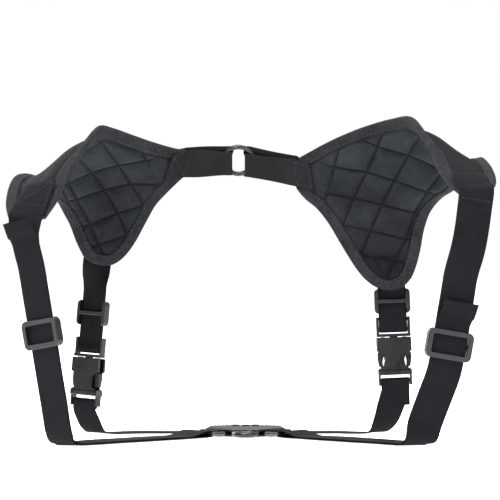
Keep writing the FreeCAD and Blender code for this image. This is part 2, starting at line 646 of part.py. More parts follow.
# ------------------------------------------------------------ side straps
def side_strap(pad, tag, xz, yaw_deg, a, b, up_tail, base_c):
    """Webbing sewn behind the lower lobe, down to the buckle bar and back up behind itself."""
    w, n = yaw(yaw_deg)
    keys = []
    for x, z, off in xz:
        u, v = pad.find(x, z)
        keys.append(on_pad(pad, u, v, V(1, -0.1, 0), 1, SIDE_WEB_W, 0.35))
    xa, up, nn = axes_on(a, b, n)
    bar = base_c + up * 7.1 - nn * (PLY / 2)
    foot = bar + up * 6.0 + nn * (PLY / 2)
    for f in (0.0, 0.12, 0.5, 0.85):
        keys.append((a + (foot - a) * f, xa))
    r = 1.7 + 0.2 + WEB_T / 2
    keys.append((foot, xa))
    main = path_stations(keys, 1, SIDE_WEB_W, WEB_T)
    if main[-3][2].dot(n) < 0:
        main = [(p, ww, m * -1, c, d) for p, ww, m, c, d in main]
    turn = wrap(bar, xa, nn, up * -1, r, SIDE_WEB_W, WEB_T)
    back = [(bar + up * 6.0 - nn * (PLY / 2), xa, nn * -1, SIDE_WEB_W, WEB_T)]
    top = a + up * up_tail
    k = 4
    for i in range(1, k + 1):
        q = bar + up * 6.0 - nn * (PLY / 2)
        d = (top - q).dot(up)
        back.append((q + up * (d * i / k), xa, nn * -1, SIDE_WEB_W, WEB_T))
    save(tag + "_side_strap", ribbon(main + turn + back))
    return xa, up, nn


def buckle(tag, o, xa, up, nn):
    """Side-release buckle.  Own axes: X across, Y up, Z outward, Y=0 at the seam."""
    zc = -PLY / 2
    # male: frame with a top bar, a wrap bar and the plate that carries arms and prong
    m = rbox(-15.2, 15.2, 0.4, 3.0, zc - 3.4, zc + 3.4, 0.8, 0)
    for sx in (-1, 1):
        x0, x1 = sorted((sx * 12.9, sx * 15.2))
        m = m.fuse(rbox(x0, x1, 0.4, 17.9, zc - 3.6, zc + 2.6, 0.7, 1))
    m = m.fuse(cyl(1.7, 27, V(-13.5, 7.1, zc), V(1, 0, 0)))
    m = m.fuse(rbox(-14, 14, 14.6, 17.6, zc - 3.6, zc - PLY / 2 - WEB_T / 2 - 0.35, 0.5, 0))
    m = m.fuse(rbox(-3.4, 3.4, -24.0, 1.0, zc - 2.2, zc + 2.2, 0.8, 1))
    save(tag + "_buckle_male", place(m.removeSplitter(), o, xa, up, nn))
    for sx, nm in ((-1, "outer"), (1, "inner")):
        pts = [(8.2, 0.1), (11.4, 0.1), (11.6, -11.5), (15.0, -14.0), (15.2, -19.0), (14.2, -25.5), (11.5, -28.0), (10.2, -27.0), (10.8, -22.0), (8.9, -12.0)]
        wire = Part.makePolygon([V(sx * x, y, zc - 2.4) for x, y in pts] + [V(sx * pts[0][0], pts[0][1], zc - 2.4)])
        arm = Part.Face(wire).extrude(V(0, 0, 4.8))
        save("%s_buckle_arm_%s" % (tag, nm), place(arm, o, xa, up, nn))
    # female: front and back plates, two guide walls, lower frame with bar
    f = None
    for z0, z1 in ((zc - 4.9, zc - 2.9), (zc + 2.9, zc + 4.9)):
        pts = [(-15.2, -0.3), (15.2, -0.3), (15.4, -12.3), (9.6, -15.6), (8.6, -21.0), (9.6, -26.2), (14.8, -29.0), (-14.8, -29.0), (-9.6, -26.2), (-8.6, -21.0), (-9.6, -15.6), (-15.4, -12.3)]
        q = Part.Face(Part.makePolygon([V(x, y, z0) for x, y in pts] + [V(pts[0][0], pts[0][1], z0)])).extrude(V(0, 0, z1 - z0))
        f = q if f is None else f.fuse(q)
    for sx in (-1, 1):
        x0, x1 = sorted((sx * 4.0, sx * 5.0))
        f = f.fuse(Part.makeBox(x1 - x0, 29.0, 6.4, V(x0, -29.3, zc - 3.2)))
        x0, x1 = sorted((sx * 13.0, sx * 15.0))
        f = f.fuse(rbox(x0, x1, -43.2, -28.6, zc - 3.6, zc + 3.6, 0.8, 1))
    f = f.fuse(rbox(-15.0, 15.0, -34.0, -28.7, zc - 4.6, zc + 4.6, 1.2, 0))
    f = f.fuse(cyl(1.7, 27.0, V(-13.5, -39.3, zc), V(1, 0, 0)))
    save(tag + "_buckle_female", place(f.removeSplitter(), o, xa, up, nn))
    print("AXIS", tag, "buckle", "up", tuple(round(q, 4) for q in up), "n", tuple(round(q, 4) for q in nn),
          "x", tuple(round(q, 4) for q in xa), "o", tuple(round(q, 3) for q in o))


def lower_side(tag, o, xa, up, nn, land, tail):
    """From the female buckle's bar down to the surface and into the yoke."""
    c = o - up * 39.3 - nn * (PLY / 2)
    r = 1.7 + 0.2 + WEB_T / 2
    st = [(c - up * tail - nn * 1.0, xa, nn * -1, SIDE_WEB_W, WEB_T),
          (c - up * 2.4 - nn * (r + 0.05), xa, nn * -1, SIDE_WEB_W, WEB_T)]
    turn = list(reversed(wrap(c, xa, nn, up, r, SIDE_WEB_W, WEB_T)))
    st += [(p, w, o2, a, b) for p, w, o2, a, b in turn]
    keys = [(c + nn * r, xa), (c + nn * (r - 0.6) - up * 3.5, xa), (c + nn * 1.0 - up * 7.0, xa)]
    for q, wq in land:
        keys.append((V(*q), unit(V(*wq))))
    low = path_stations(keys, 1, SIDE_WEB_W, WEB_T)
    if low[0][2].dot(nn) < 0:
        low = [(p, w, m * -1, a, b) for p, w, m, a, b in low]
    save(tag + "_lower_side_strap", ribbon(st + low[1:]))


# left
a, b = V(-138.9, 74.6, -121.0), V(-143.0, 73.0, -170.0)
lo = V(-144.0, 73.0, -185.1)
lo = along(a, b, (lo.z - a.z) / (b.z - a.z))
l_xa, l_up, l_nn = side_strap(LP, "left", [(-133.0, -72.0, 4.9), (-134.5, -84.0, 4.6), (-135.8, -95.0, 4.0), (-136.6, -101.0, 3.6)], -36.0, a, b, 8.0, lo)
print("LEFT UP", l_up)
SLD = slide_frame(SLD_W, SLD_H, 3.2, 3.6, WEB_T / 2 + 0.35, PLY + WEB_T / 2 + 0.35, True, 3.6)
c = along(a, b, (-145.4 - a.z) / (b.z - a.z))
save("left_side_slider", place(SLD, c, l_xa, l_up, l_nn))
print("AXIS left slider", tuple(round(q, 4) for q in l_up), tuple(round(q, 3) for q in c))
buckle("left", along(a, b, (lo.z - a.z) / (b.z - a.z)), l_xa, l_up, l_nn)
lo = along(a, b, (lo.z - a.z) / (b.z - a.z))
lc = lo - l_up * 39.3
lower_side("left", lo, l_xa, l_up, l_nn,
           [((lc.x + 4.0, lc.y + 1.0, REST_Z + 11.0), (.84, -.54, 0)), ((lc.x + 9.0, lc.y + 5.0, REST_Z + 3.0), (.78, -.62, 0)), ((lc.x + 18.0, lc.y + 11.5, REST_Z + 0.75), (.62, -.78, 0)),
            ((lc.x + 45.0, lc.y + 22.0, REST_Z + 0.75), (.28, -.96, 0)), ((lc.x + 80.0, lc.y + 24.0, REST_Z + 0.75), (-.05, -1, 0)), ((-48.0, 90.0, REST_Z + 1.4), (-.16, -.99, 0)), ((-40.5, 88.9, REST_Z + 2.6), (-.18, -.98, 0)), ((-18.0, 85.0, REST_Z + 2.85), (-.18, -.98, 0))], 6.5)
# right
a, b = V(127.1, 76.2, -129.0), V(130.3, 75.0, -209.9)
ro = along(a, b, (-166.9 - a.z) / (b.z - a.z))
r_xa, r_up, r_nn = side_strap(RP, "right", [(122.0, -84.0, 4.9), (123.5, -98.0, 4.6), (124.9, -111.0, 4.2), (126.0, -119.0, 3.8)], 3.0, a, b, 6.0, ro)
a = V(127.1, 76.2, -129.0)
c = along(a, b, (-134.7 - a.z) / (b.z - a.z))
save("right_side_slider", place(SLD, c, r_xa, r_up, r_nn))
print("AXIS right slider", tuple(round(q, 4) for q in r_up), tuple(round(q, 3) for q in c))
ro = along(a, b, (-166.9 - a.z) / (b.z - a.z))
buckle("right", ro, r_xa, r_up, r_nn)
rc = ro - r_up * 39.3
lower_side("right", ro, r_xa, r_up, r_nn,
           [((rc.x - 3.5, rc.y + 0.5, rc.z - 20.0), (.97, .2, 0)), ((rc.x - 9.0, rc.y + 2.0, REST_Z + 12.0), (.9, .45, 0)), ((rc.x - 15.0, rc.y + 6.0, REST_Z + 3.0), (.75, .66, 0)), ((rc.x - 25.0, rc.y + 12.0, REST_Z + 0.75), (.55, .84, 0)),
            ((rc.x - 50.0, rc.y + 20.0, REST_Z + 0.75), (.2, .98, 0)), ((rc.x - 75.0, rc.y + 20.0, REST_Z + 0.75), (-.08, 1, 0)), ((40.0, 90.0, REST_Z + 1.4), (-.17, .98, 0)), ((32.5, 88.9, REST_Z + 2.6), (-.18, .98, 0)), ((10.0, 85.0, REST_Z + 2.85), (-.18, .98, 0))], 22.0)

# ------------------------------------------------------------ shoulder ring and links
tilt = math.radians(RING_TILT)
ring_up = V(0, -math.sin(tilt), math.cos(tilt))
ring_n = V(0, -math.cos(tilt), -math.sin(tilt))
save("shoulder_ring", Part.makeTorus(RING_R, RING_TUBE, RING_C, ring_n))
print("AXIS ring", tuple(round(q, 4) for q in ring_n))


def link(pad, tag, sx, xz_front, wdirs):
    """Webbing loop: lining side of the pad, round the ring, back on the outer side."""
    wr = 17.0
    c = RING_C + V(sx * (RING_R - 3.7), 0, 0)
    r = RING_TUBE + 0.45 + WEB_T / 2
    front, rear = [], []
    for (x, z, f_off, b_off), wd in zip(xz_front, wdirs):
        u, v = pad.find(x, z)
        p, du, dv, nn = pad.frame(u, v)
        q, wq = on_pad(pad, u, v, V(*wd), -1, SIDE_WEB_W)
        front.append((q, wq, nn * -1, SIDE_WEB_W - 0.6, WEB_T))
        q, wq = on_pad(pad, u, v, V(*wd), 1, SIDE_WEB_W)
        rear.append((q, wq, nn, SIDE_WEB_W - 0.6, WEB_T))
    d = V(-sx, 0, 0)          # from the pad towards the ring
    st = list(front)
    n0 = front[-1][2]
    mid = RING_C + V(sx * (RING_R + 12.0), 0, 0)
    st.append((mid + ring_n * (r - 0.3), unit(ring_up + V(*wdirs[-1])), ring_n, 21.0, WEB_T))
    st.append((RING_C + V(sx * (RING_R + 3.0), 0, 0) + ring_n * r, ring_up, ring_n, 17.6, WEB_T))
    for i in range(9):
        ang = math.pi * i / 8
        o = ring_n * math.cos(ang) + d * math.sin(ang)
        st.append((c + o * r, ring_up, o, wr, WEB_T))
    st.append((RING_C + V(sx * (RING_R + 3.0), 0, 0) - ring_n * r, ring_up, ring_n * -1, 17.6, WEB_T))
    st.append((mid - ring_n * (r - 0.3), unit(ring_up + V(*wdirs[-1])), ring_n * -1, 21.0, WEB_T))
    st += list(reversed(rear))
    save(tag + "_ring_link", ribbon(st))


link(LP, "left", -1, [(-75.0, -14.0, 5.3, 5.0), (-66.0, -12.5, 4.9, 4.4), (-58.5, -11.5, 4.0, 3.6), (-54.6, -11.3, 3.4, 3.0)],
     [(.25, -.15, .95)] * 3 + [(.2, -.3, .93)])
link(RP, "right", 1, [(57.0, -24.5, 5.3, 5.0), (50.0, -22.5, 4.7, 4.4), (45.0, -20.5, 3.9, 3.6), (42.0, -19.5, 3.4, 3.0)],
     [(-.2, -.2, .95)] * 3 + [(-.15, -.3, .94)])

# ------------------------------------------------------------ yoke
yo = [(-36, -13.4), (-9, -41), (9, -41), (36, -13.4), (31, 26), (20, 31), (-20, 31), (-31, 26)]
wire = Part.makePolygon([V(YOKE_C.x + x, YOKE_C.y + y, 0) for x, y in yo + [yo[0]]])
plate = Part.Face(wire).extrude(V(0, 0, 1.6))
plate = plate.makeFillet(4.0, [e for e in plate.Edges if abs(e.Vertexes[0].Z - e.Vertexes[1].Z) > 1])
low = plate.copy()
low.translate(V(0, 0, REST_Z + 0.05))
high = plate.copy()
high.translate(V(0, 0, REST_Z + 4.75))
rivets = None
for x, y in ((0, 22.5), (-9, 24.0), (9, 24.0)):
    p = V(YOKE_C.x + x, YOKE_C.y + y, REST_Z)
    hole = cyl(1.7, 12, p - ZUP * 2, ZUP)
    low, high = low.cut(hole), high.cut(hole)
    rv = cyl(1.6, 6.0, p + ZUP * 0.6, ZUP).fuse(cyl(3.4, 1.0, p + ZUP * 6.42, ZUP))
    rivets = rv if rivets is None else rivets.fuse(rv)
save("yoke_leather_lower", low)
save("yoke_leather_upper", high)
save("yoke_rivets", rivets)

# ------------------------------------------------------------ swivel snap hook, lying in front of the yoke
HX, HZ = YOKE_C.x, REST_Z + 5.2
hy = YOKE_C.y - 41.0
eye_y = hy - 8.0
# tab: leather loop round the eye bar
tw = 14.0
st = []
lowt, topt = REST_Z + 2.4, REST_Z + 3.85
ec = V(HX, eye_y, HZ)
st = [(V(HX, hy + 13, lowt), V(1, 0, 0), ZUP * -1, tw, WEB_T), (V(HX, hy + 1, lowt), V(1, 0, 0), ZUP * -1, tw, WEB_T), (ec + V(0, 1.5, -WR), V(1, 0, 0), ZUP * -1, tw, WEB_T)]
for i in range(7):
    ang = math.pi * i / 6
    o = ZUP * (-math.cos(ang)) - V(0, 1, 0) * math.sin(ang)
    st.append((ec + o * WR, V(1, 0, 0), o, tw, WEB_T))
st += [(ec + V(0, 1.5, WR), V(1, 0, 0), ZUP, tw, WEB_T), (V(HX, hy + 1, topt), V(1, 0, 0), ZUP, tw, WEB_T), (V(HX, hy + 13, topt), V(1, 0, 0), ZUP, tw, WEB_T)]
save("hook_tab", ribbon(st))
eye = cyl(BAR_R, 20, V(HX - 10, eye_y, HZ), V(1, 0, 0))
for sx in (-1, 1):
    eye = eye.fuse(cyl(BAR_R, 13, V(HX + sx * 10, eye_y, HZ), V(0, -1, 0))).fuse(Part.makeSphere(BAR_R, V(HX + sx * 10, eye_y, HZ)))
eye = eye.fuse(rbox(HX - 11.6, HX + 11.6, eye_y - 16.5, eye_y - 11.5, HZ - 3.4, HZ + 3.4, 1.2))
eye = eye.cut(cyl(2.1, 12, V(HX, eye_y - 20, HZ), V(0, 1, 0)))
save("hook_eye", eye.removeSplitter())
# shank, collar and hook
sy = eye_y - 16.5
body = cyl(2.05, 6.5, V(HX, eye_y - 10.3, HZ), V(0, -1, 0)).fuse(cyl(3.2, 1.6, V(HX, eye_y - 9.5, HZ), V(0, -1, 0)))
body = body.fuse(cyl(3.6, 5.0, V(HX, sy - 0.3, HZ), V(0, -1, 0)))
hook_c = V(HX, sy - 5.3 - 12.0, HZ)
RH, rh = 9.5, 2.4
arc = Part.makeTorus(RH, rh, hook_c, ZUP, 0, 360, 250)
arc.rotate(hook_c, ZUP, 90 - 20)
body = body.fuse(cyl(2.4, 10.5, V(HX, sy - 4.0, HZ), V(0, -1, 0)) if False else cyl(2.4, 6.0, V(HX, sy - 3.0, HZ), V(0, -1, 0)))
tipdir = math.radians(90 - 20 + 250)
body = body.fuse(arc).fuse(Part.makeSphere(rh, hook_c + V(RH * math.cos(tipdir), RH * math.sin(tipdir), 0)))
piv = hook_c + V(RH * math.cos(math.radians(70)), RH * math.sin(math.radians(70)), 0)
lug = Part.makeSphere(3.4, piv)
body = body.fuse(lug)
tip = hook_c + V(RH * math.cos(tipdir), RH * math.sin(tipdir), 0)
gd = unit(tip - piv)
gn = ZUP.cross(gd)
slot = place(rbox(-4.5, 5.2, -4.5, 4.5, -1.5, 1.5), piv, gd, gn, ZUP)
body = body.cut(slot)
pin_hole = cyl(0.8, 12, piv - ZUP * 6, ZUP)
body = body.cut(cyl(0.82, 12, piv - ZUP * 6, ZUP))
save("hook_body", body.removeSplitter())
glen = (tip - piv).Length - rh - 0.35
gate = rbox(-1.8, glen, -1.5, 1.5, -1.15, 1.15, 0.4).cut(cyl(0.9, 6, V(0, 0, -3), V(0, 0, 1)))
save("hook_gate", place(gate, piv, gd, gn, ZUP))
save("hook_gate_pin", cyl(0.76, 6.0, piv - ZUP * 3.0, ZUP))
print("AXIS hook", tuple(ec), "gate", tuple(piv), "gd", tuple(gd), "hook_c", tuple(hook_c))
print("AXIS arms", "left o", tuple(lo), "right o", tuple(ro))
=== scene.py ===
import bpy
import bmesh
import math
import random
import numpy as np
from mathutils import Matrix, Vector


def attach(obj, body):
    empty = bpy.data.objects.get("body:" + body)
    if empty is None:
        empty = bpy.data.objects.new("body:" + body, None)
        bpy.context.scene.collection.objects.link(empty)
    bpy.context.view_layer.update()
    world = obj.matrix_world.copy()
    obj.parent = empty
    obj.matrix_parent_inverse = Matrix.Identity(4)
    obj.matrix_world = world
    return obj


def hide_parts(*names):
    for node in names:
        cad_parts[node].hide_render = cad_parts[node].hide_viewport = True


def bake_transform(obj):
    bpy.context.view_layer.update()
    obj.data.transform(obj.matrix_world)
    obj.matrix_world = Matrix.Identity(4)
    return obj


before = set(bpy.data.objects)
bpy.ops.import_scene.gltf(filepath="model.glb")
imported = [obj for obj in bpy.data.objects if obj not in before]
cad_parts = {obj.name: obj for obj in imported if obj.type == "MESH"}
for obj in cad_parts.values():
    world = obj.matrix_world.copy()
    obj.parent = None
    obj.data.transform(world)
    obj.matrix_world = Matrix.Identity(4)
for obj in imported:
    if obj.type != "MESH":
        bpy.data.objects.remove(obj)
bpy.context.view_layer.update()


def V(x, y=None, z=None):
    return Vector(x) if y is None else Vector((x, y, z))


# ------------------------------------------------------------ driving sizes
FRONT_WEB_W = 30.0        # front strap webbing width
SIDE_WEB_W = 25.0         # side strap webbing width
WEB_T = 1.1               # webbing thickness
PLY = 1.3                 # centre-to-centre distance of two plies lying together
REST_Z = -254.0           # level of the surface that the lower straps lie on

LINING_T = 1.4            # quilted lining, with its thin wadding
OUTER_T = 1.0             # outer fabric
FOAM_H_RIM = 0.25         # half thickness of the foam pocket at the rim
FOAM_H_MID = 2.6          # extra half thickness away from the rim
BIND_W = 9.5              # width of the edge binding on each face
BIND_T = 0.5              # binding tape thickness
BIND_GAP = 0.8          # room between the tape and the layers it folds over

RING_R = 13.35            # shoulder ring, centre line radius
RING_TUBE = 2.15          # shoulder ring, wire radius
RING_TILT = 28.0          # lean of the ring against the upper back, degrees
RING_C = V(-10.3, 75.0, -8.8)

TRI_W, TRI_H = 40.0, 25.0     # front tri-glide outline
SLD_W, SLD_H = 32.0, 22.0     # side slider outline

# pad outlines: edge curves through these points
L_NECK = [(-174.0, -60, -61.0), (-164.5, -50, -44.7), (-158.4, -38, -27.3), (-149.4, -24, -8.9), (-140.3, -10, 6.3), (-130.5, 2, 18.0), (-121.0, 20, 17.1), (-103.4, 42, 11.4), (-87.1, 56, 6.1), (-68.8, 68, 1.2), (-58.2, 73, -0.4)]
L_ARM = [(-204.9, -56, -60.1), (-207.7, -43, -50.5), (-207.7, -27, -39.0), (-205.4, -8, -28.8), (-202.5, 4, -25.2), (-194.9, 24, -23.9), (-185.5, 40, -27.7), (-177.4, 49.5, -36.2), (-170.6, 55, -42.8), (-165.6, 59, -52.5), (-160.4, 62.5, -63.6), (-153.5, 66, -82.8), (-148.2, 67, -93.5)]
L_FRONT = [(-174.0, -60, -61.0), (-189.2, -60.5, -63.1), (-204.9, -56, -60.1)]
L_BACK = [(-58.2, 73, -0.4), (-54.2, 75, -9.7), (-53.8, 76, -16.0), (-59.1, 76, -21.4), (-67.2, 75.5, -29.0), (-77.9, 75, -39.7), (-85.5, 74, -48.3), (-94.0, 73, -63.5), (-102.9, 72, -80.1), (-109.1, 71, -89.4), (-115.7, 70.5, -96.6), (-124.3, 70, -101.5), (-134.0, 69, -101.5), (-142.9, 68, -98.4), (-148.2, 67, -93.5)]
R_NECK = [(178.1, -62, -40.7), (169.3, -54, -32.0), (162.4, -43, -20.6), (157.3, -28, -3.9), (148.8, -12, 14.0), (139.2, 2, 25.9), (124.6, 22, 25.2), (107.7, 38, 21.1), (89.7, 52, 14.9), (67.4, 65, 5.1), (44.7, 73, -7.1)]
R_ARM = [(204.7, -58, -37.2), (209.1, -46, -31.0), (208.4, -29, -21.6), (204.4, -10, -13.0), (201.1, 3, -10.2), (196.5, 22, -13.8), (188.9, 38, -22.6), (179.9, 48, -33.6), (169.7, 55, -40.6), (160.3, 61, -52.9), (154.3, 65, -70.3), (151.4, 67, -87.2), (147.8, 68, -102.0), (142.9, 68.5, -114.0), (136.7, 69, -121.2)]
R_FRONT = [(178.1, -62, -40.7), (191.6, -62.5, -39.8), (204.7, -58, -37.2)]
R_BACK = [(44.7, 73, -7.1), (41.5, 75, -19.1), (42.1, 76, -31.7), (50.2, 75.5, -42.4), (60.0, 75, -50.5), (70.7, 74, -63.9), (81.4, 73, -81.8), (89.5, 72, -95.3), (96.6, 71.5, -106.0), (104.6, 71, -115.4), (113.5, 70.5, -121.6), (125.1, 70, -124.3), (136.7, 69, -121.2)]
# which point of the neck and arm edges lies on the shoulder ridge
L_RIDGE = (5, 4)
R_RIDGE = (5, 4)
V_RIDGE = 0.40


# ------------------------------------------------------------ small helpers
def unit(a):
    return a * (1.0 / a.length)


def lerp(a, b, t):
    return a + (b - a) * t


def smooth(x):
    x = min(1.0, max(0.0, x))
    return x * x * (3.0 - 2.0 * x)


def catmull(points, per=24):
    """Dense polyline of a centripetal Catmull-Rom curve through the points."""
    p = [V(*q) if not isinstance(q, Vector) else V(q) for q in points]
    p = [p[0] * 2 - p[1]] + p + [p[-1] * 2 - p[-2]]
    out = []
    for i in range(1, len(p) - 2):
        t = [0.0]
        for a, b in ((p[i - 1], p[i]), (p[i], p[i + 1]), (p[i + 1], p[i + 2])):
            t.append(t[-1] + max(1e-6, (b - a).length) ** 0.5)
        for k in range(per):
            s = t[1] + (t[2] - t[1]) * k / per
            a1 = lerp(p[i - 1], p[i], (s - t[0]) / (t[1] - t[0]))
            a2 = lerp(p[i], p[i + 1], (s - t[1]) / (t[2] - t[1]))
            a3 = lerp(p[i + 1], p[i + 2], (s - t[2]) / (t[3] - t[2]))
            b1 = lerp(a1, a2, (s - t[0]) / (t[2] - t[0]))
            b2 = lerp(a2, a3, (s - t[1]) / (t[3] - t[1]))
            out.append(lerp(b1, b2, (s - t[1]) / (t[2] - t[1])))
    out.append(p[-2])
    return out


class Curve:
    """A polyline read by arc length, 0 to 1."""

    def __init__(self, points, key=None, at=None, per=24):
        self.p = catmull(points, per)
        self.s = [0.0]
        for a, b in zip(self.p, self.p[1:]):
            self.s.append(self.s[-1] + (b - a).length)
        self.len = self.s[-1]
        self.key = None
        if key is not None:
            self.key = (at, self.s[key * per] / self.len)

    def __call__(self, t):
        t = min(1.0, max(0.0, t))
        if self.key:
            a, b = self.key
            # smooth monotone map that takes a to b
            d0, d1 = b / a, (1 - b) / (1 - a)
            m = 2 * d0 * d1 / (d0 + d1)
            if t < a:
                h, x, y0, y1, m0, m1 = a, t / a, 0.0, b, d0 + (d0 - m) * 0.5, m
            else:
                h, x, y0, y1, m0, m1 = 1 - a, (t - a) / (1 - a), b, 1.0, m, d1 + (d1 - m) * 0.5
            t = ((2 * x ** 3 - 3 * x * x + 1) * y0 + (x ** 3 - 2 * x * x + x) * h * m0
                 + (-2 * x ** 3 + 3 * x * x) * y1 + (x ** 3 - x * x) * h * m1)
        s = t * self.len
        lo, hi = 0, len(self.s) - 1
        while hi - lo > 1:
            m = (lo + hi) // 2
            if self.s[m] <= s:
                lo = m
            else:
                hi = m
        f = (s - self.s[lo]) / max(1e-9, self.s[hi] - self.s[lo])
        return lerp(self.p[lo], self.p[hi], f)


class Pad:
    """Four-sided shoulder pad.  u runs from the neck edge to the arm edge,
    v from the short front end over the shoulder ridge to the back."""

    def __init__(self, neck, arm, front, back, ridge, sign):
        self.neck = Curve(neck, ridge[0], V_RIDGE)
        self.arm = Curve(arm, ridge[1], V_RIDGE)
        self.front = Curve(front)
        self.back = Curve(back)
        self.sign = sign
        self.rim = []
        n = 70
        for i in range(n):
            self.rim.append(self.front(i / n))
        for i in range(n):
            self.rim.append(self.arm(i / n))
        for i in range(n):
            self.rim.append(self.back(1 - i / n))
        for i in range(n):
            self.rim.append(self.neck(1 - i / n))

    def at(self, u, v):
        a, b, c, d = self.front(0), self.front(1), self.back(0), self.back(1)
        return (self.front(u) * (1 - v) + self.back(u) * v + self.neck(v) * (1 - u) + self.arm(v) * u
                - (a * ((1 - u) * (1 - v)) + b * (u * (1 - v)) + c * ((1 - u) * v) + d * (u * v)))

    def frame(self, u, v):
        e = 0.02
        u0, u1 = max(0, u - e), min(1, u + e)
        v0, v1 = max(0, v - e), min(1, v + e)
        du = (self.at(u1, v) - self.at(u0, v)) * (1 / (u1 - u0))
        dv = (self.at(u, v1) - self.at(u, v0)) * (1 / (v1 - v0))
        n = unit(du.cross(dv)) * self.sign
        return self.at(u, v), du, dv, n

    def edge_distance(self, p):
        best = 1e9
        k = len(self.rim)
        for i in range(k):
            a, b = self.rim[i], self.rim[(i + 1) % k]
            ab = b - a
            t = min(1.0, max(0.0, (p - a).dot(ab) / max(1e-9, ab.dot(ab))))
            best = min(best, (p - a - ab * t).length)
        return best

    def half(self, p):
        return FOAM_H_RIM + FOAM_H_MID * smooth((self.edge_distance(p) - 2.0) / 18.0)

    def find(self, x, z, v_min=V_RIDGE):
        """(u, v) of the point whose front view position is (x, z)."""
        best, bu, bv = 1e9, 0, 0
        step_u, step_v = 1 / 24.0, (1 - v_min) / 24.0
        cu, cv, ru, rv = 0.5, (1 + v_min) / 2, 0.5, (1 - v_min) / 2
        for _ in range(5):
            best = 1e9
            for i in range(13):
                for j in range(13):
                    u = min(1, max(0, cu - ru + 2 * ru * i / 12))
                    v = min(1, max(0, cv - rv + 2 * rv * j / 12))
                    q = self.at(u, v)
                    d = (q.x - x) ** 2 + (q.z - z) ** 2
                    if d < best:
                        best, bu, bv = d, u, v
            cu, cv, ru, rv = bu, bv, ru * 0.3, rv * 0.3
        return bu, bv


def ribbon(st):
    return st


def stations(keys, width, thick, per_deg=9.0, longest=22.0):
    """Ribbon stations along a smooth curve through keys of (point, width direction)."""
    pts = [k[0] for k in keys]
    per = 16
    dense = catmull(pts, per)
    raw = []
    for i, p in enumerate(dense):
        a, b = dense[max(0, i - 1)], dense[min(len(dense) - 1, i + 1)]
        t = unit(b - a)
        k, f = min(i // per, len(keys) - 2), (i - min(i // per, len(keys) - 2) * per) / per
        w = keys[k][1] * (1 - f) + keys[k + 1][1] * f
        w = unit(w - t * w.dot(t))
        raw.append((p, w, t))
    keep = [0]
    turned = run = 0.0
    for i in range(1, len(raw) - 1):
        run += (raw[i][0] - raw[i - 1][0]).length
        c = max(-1, min(1, raw[i][2].dot(raw[keep[-1]][2])))
        d = max(-1, min(1, raw[i][1].dot(raw[keep[-1]][1])))
        turned = math.degrees(max(math.acos(c), math.acos(d)))
        if turned > per_deg or run > longest:
            keep.append(i)
            run = 0.0
    keep.append(len(raw) - 1)
    return [(raw[i][0], raw[i][1], raw[i][2]) for i in keep]


def finish_stations(raw, side, width, thick, offset=0.0):
    """Adds the normal and shifts each station along it."""
    out = []
    for p, w, t in raw:
        n = unit(w.cross(t)) * side
        out.append((p + n * offset, w, n, width, thick))
    return out


STRAPS = {}
SOCKET = {}


def save(name, st):
    if isinstance(st, list):
        STRAPS[name] = st


def inset(pad, u, v, d):
    """Moves (u, v) inwards so that the unit square's rim goes d mm inside the pad."""
    def need(u, v, along_u):
        p, du, dv, n = pad.frame(u, v)
        area = du.cross(dv).length
        return d * (dv.length if along_u else du.length) / area
    a = min(0.3, need(0.0, v, True))
    b = min(0.3, need(1.0, v, True))
    c = min(0.3, need(u, 0.0, False))
    e = min(0.3, need(u, 1.0, False))
    return a + u * (1 - a - b), c + v * (1 - c - e)


LP = Pad(L_NECK, L_ARM, L_FRONT, L_BACK, L_RIDGE, -1)
RP = Pad(R_NECK, R_ARM, R_FRONT, R_BACK, R_RIDGE, 1)
ZUP = V(0, 0, 1)


def on_pad(pad, u, v, wd, face, width, extra=0.0):
    """Strap key lying on a pad face (+1 outer, -1 lining): point and width direction."""
    p, du, dv, n = pad.frame(u, v)
    w = unit(wd - n * wd.dot(n))
    n = n * face
    a11, a12, a22 = du.dot(du), du.dot(dv), dv.dot(dv)
    det = a11 * a22 - a12 * a12
    high = -1e9
    for k in range(-4, 5):
        step = w * (k * width / 8.0)
        b1, b2 = du.dot(step), dv.dot(step)
        uu, vv = u + (b1 * a22 - b2 * a12) / det, v + (b2 * a11 - b1 * a12) / det
        if -0.02 <= uu <= 1.02 and -0.02 <= vv <= 1.02:
            uu, vv = min(1.0, max(0.0, uu)), min(1.0, max(0.0, vv))
            q = pad.at(uu, vv)
            h = pad.half(q) + (OUTER_T if face > 0 else LINING_T)
            if pad.edge_distance(q) < BIND_W + 5.0:
                h += BIND_GAP * (1.0 if face > 0 else 1.5) + BIND_T
            high = max(high, (q - p).dot(n) + h)
    return p + n * (high + WEB_T / 2 + 0.55 + extra), w


def sewn(pad, targets, off_mid, off_end, side):
    """Strap keys lying on a pad face, from targets of (u, v, width direction)."""
    keys = []
    for k, (u, v, w) in enumerate(targets):
        p, du, dv, n = pad.frame(u, v)
        f = k / max(1, len(targets) - 1)
        keys.append((p + n * (side * (off_mid + (off_end - off_mid) * f)), w, n * side))
    return keys


def ply(st, off):
    return [(p + n * off, w, n, wd, t) for p, w, n, wd, t in st]


def wrap(c, w, n, d, r, width, thick, steps=6):
    """Half turn round a bar at c: starts on the +n side, goes by +d, ends on the -n side."""
    out = []
    for i in range(steps + 1):
        a = math.pi * i / steps
        o = n * math.cos(a) + d * math.sin(a)
        out.append((c + o * r, w, o, width, thick))
    return out


def yaw(deg):
    """Width direction and outward normal of a hanging strap turned by deg."""
    a = math.radians(deg)
    return V(math.cos(a), math.sin(a), 0), V(math.sin(a), -math.cos(a), 0)


def path_stations(keys, side, width, thick, **kw):
    return finish_stations(stations(keys, width, thick, **kw), side, width, thick)


def along(a, b, t):
    return a + (b - a) * t


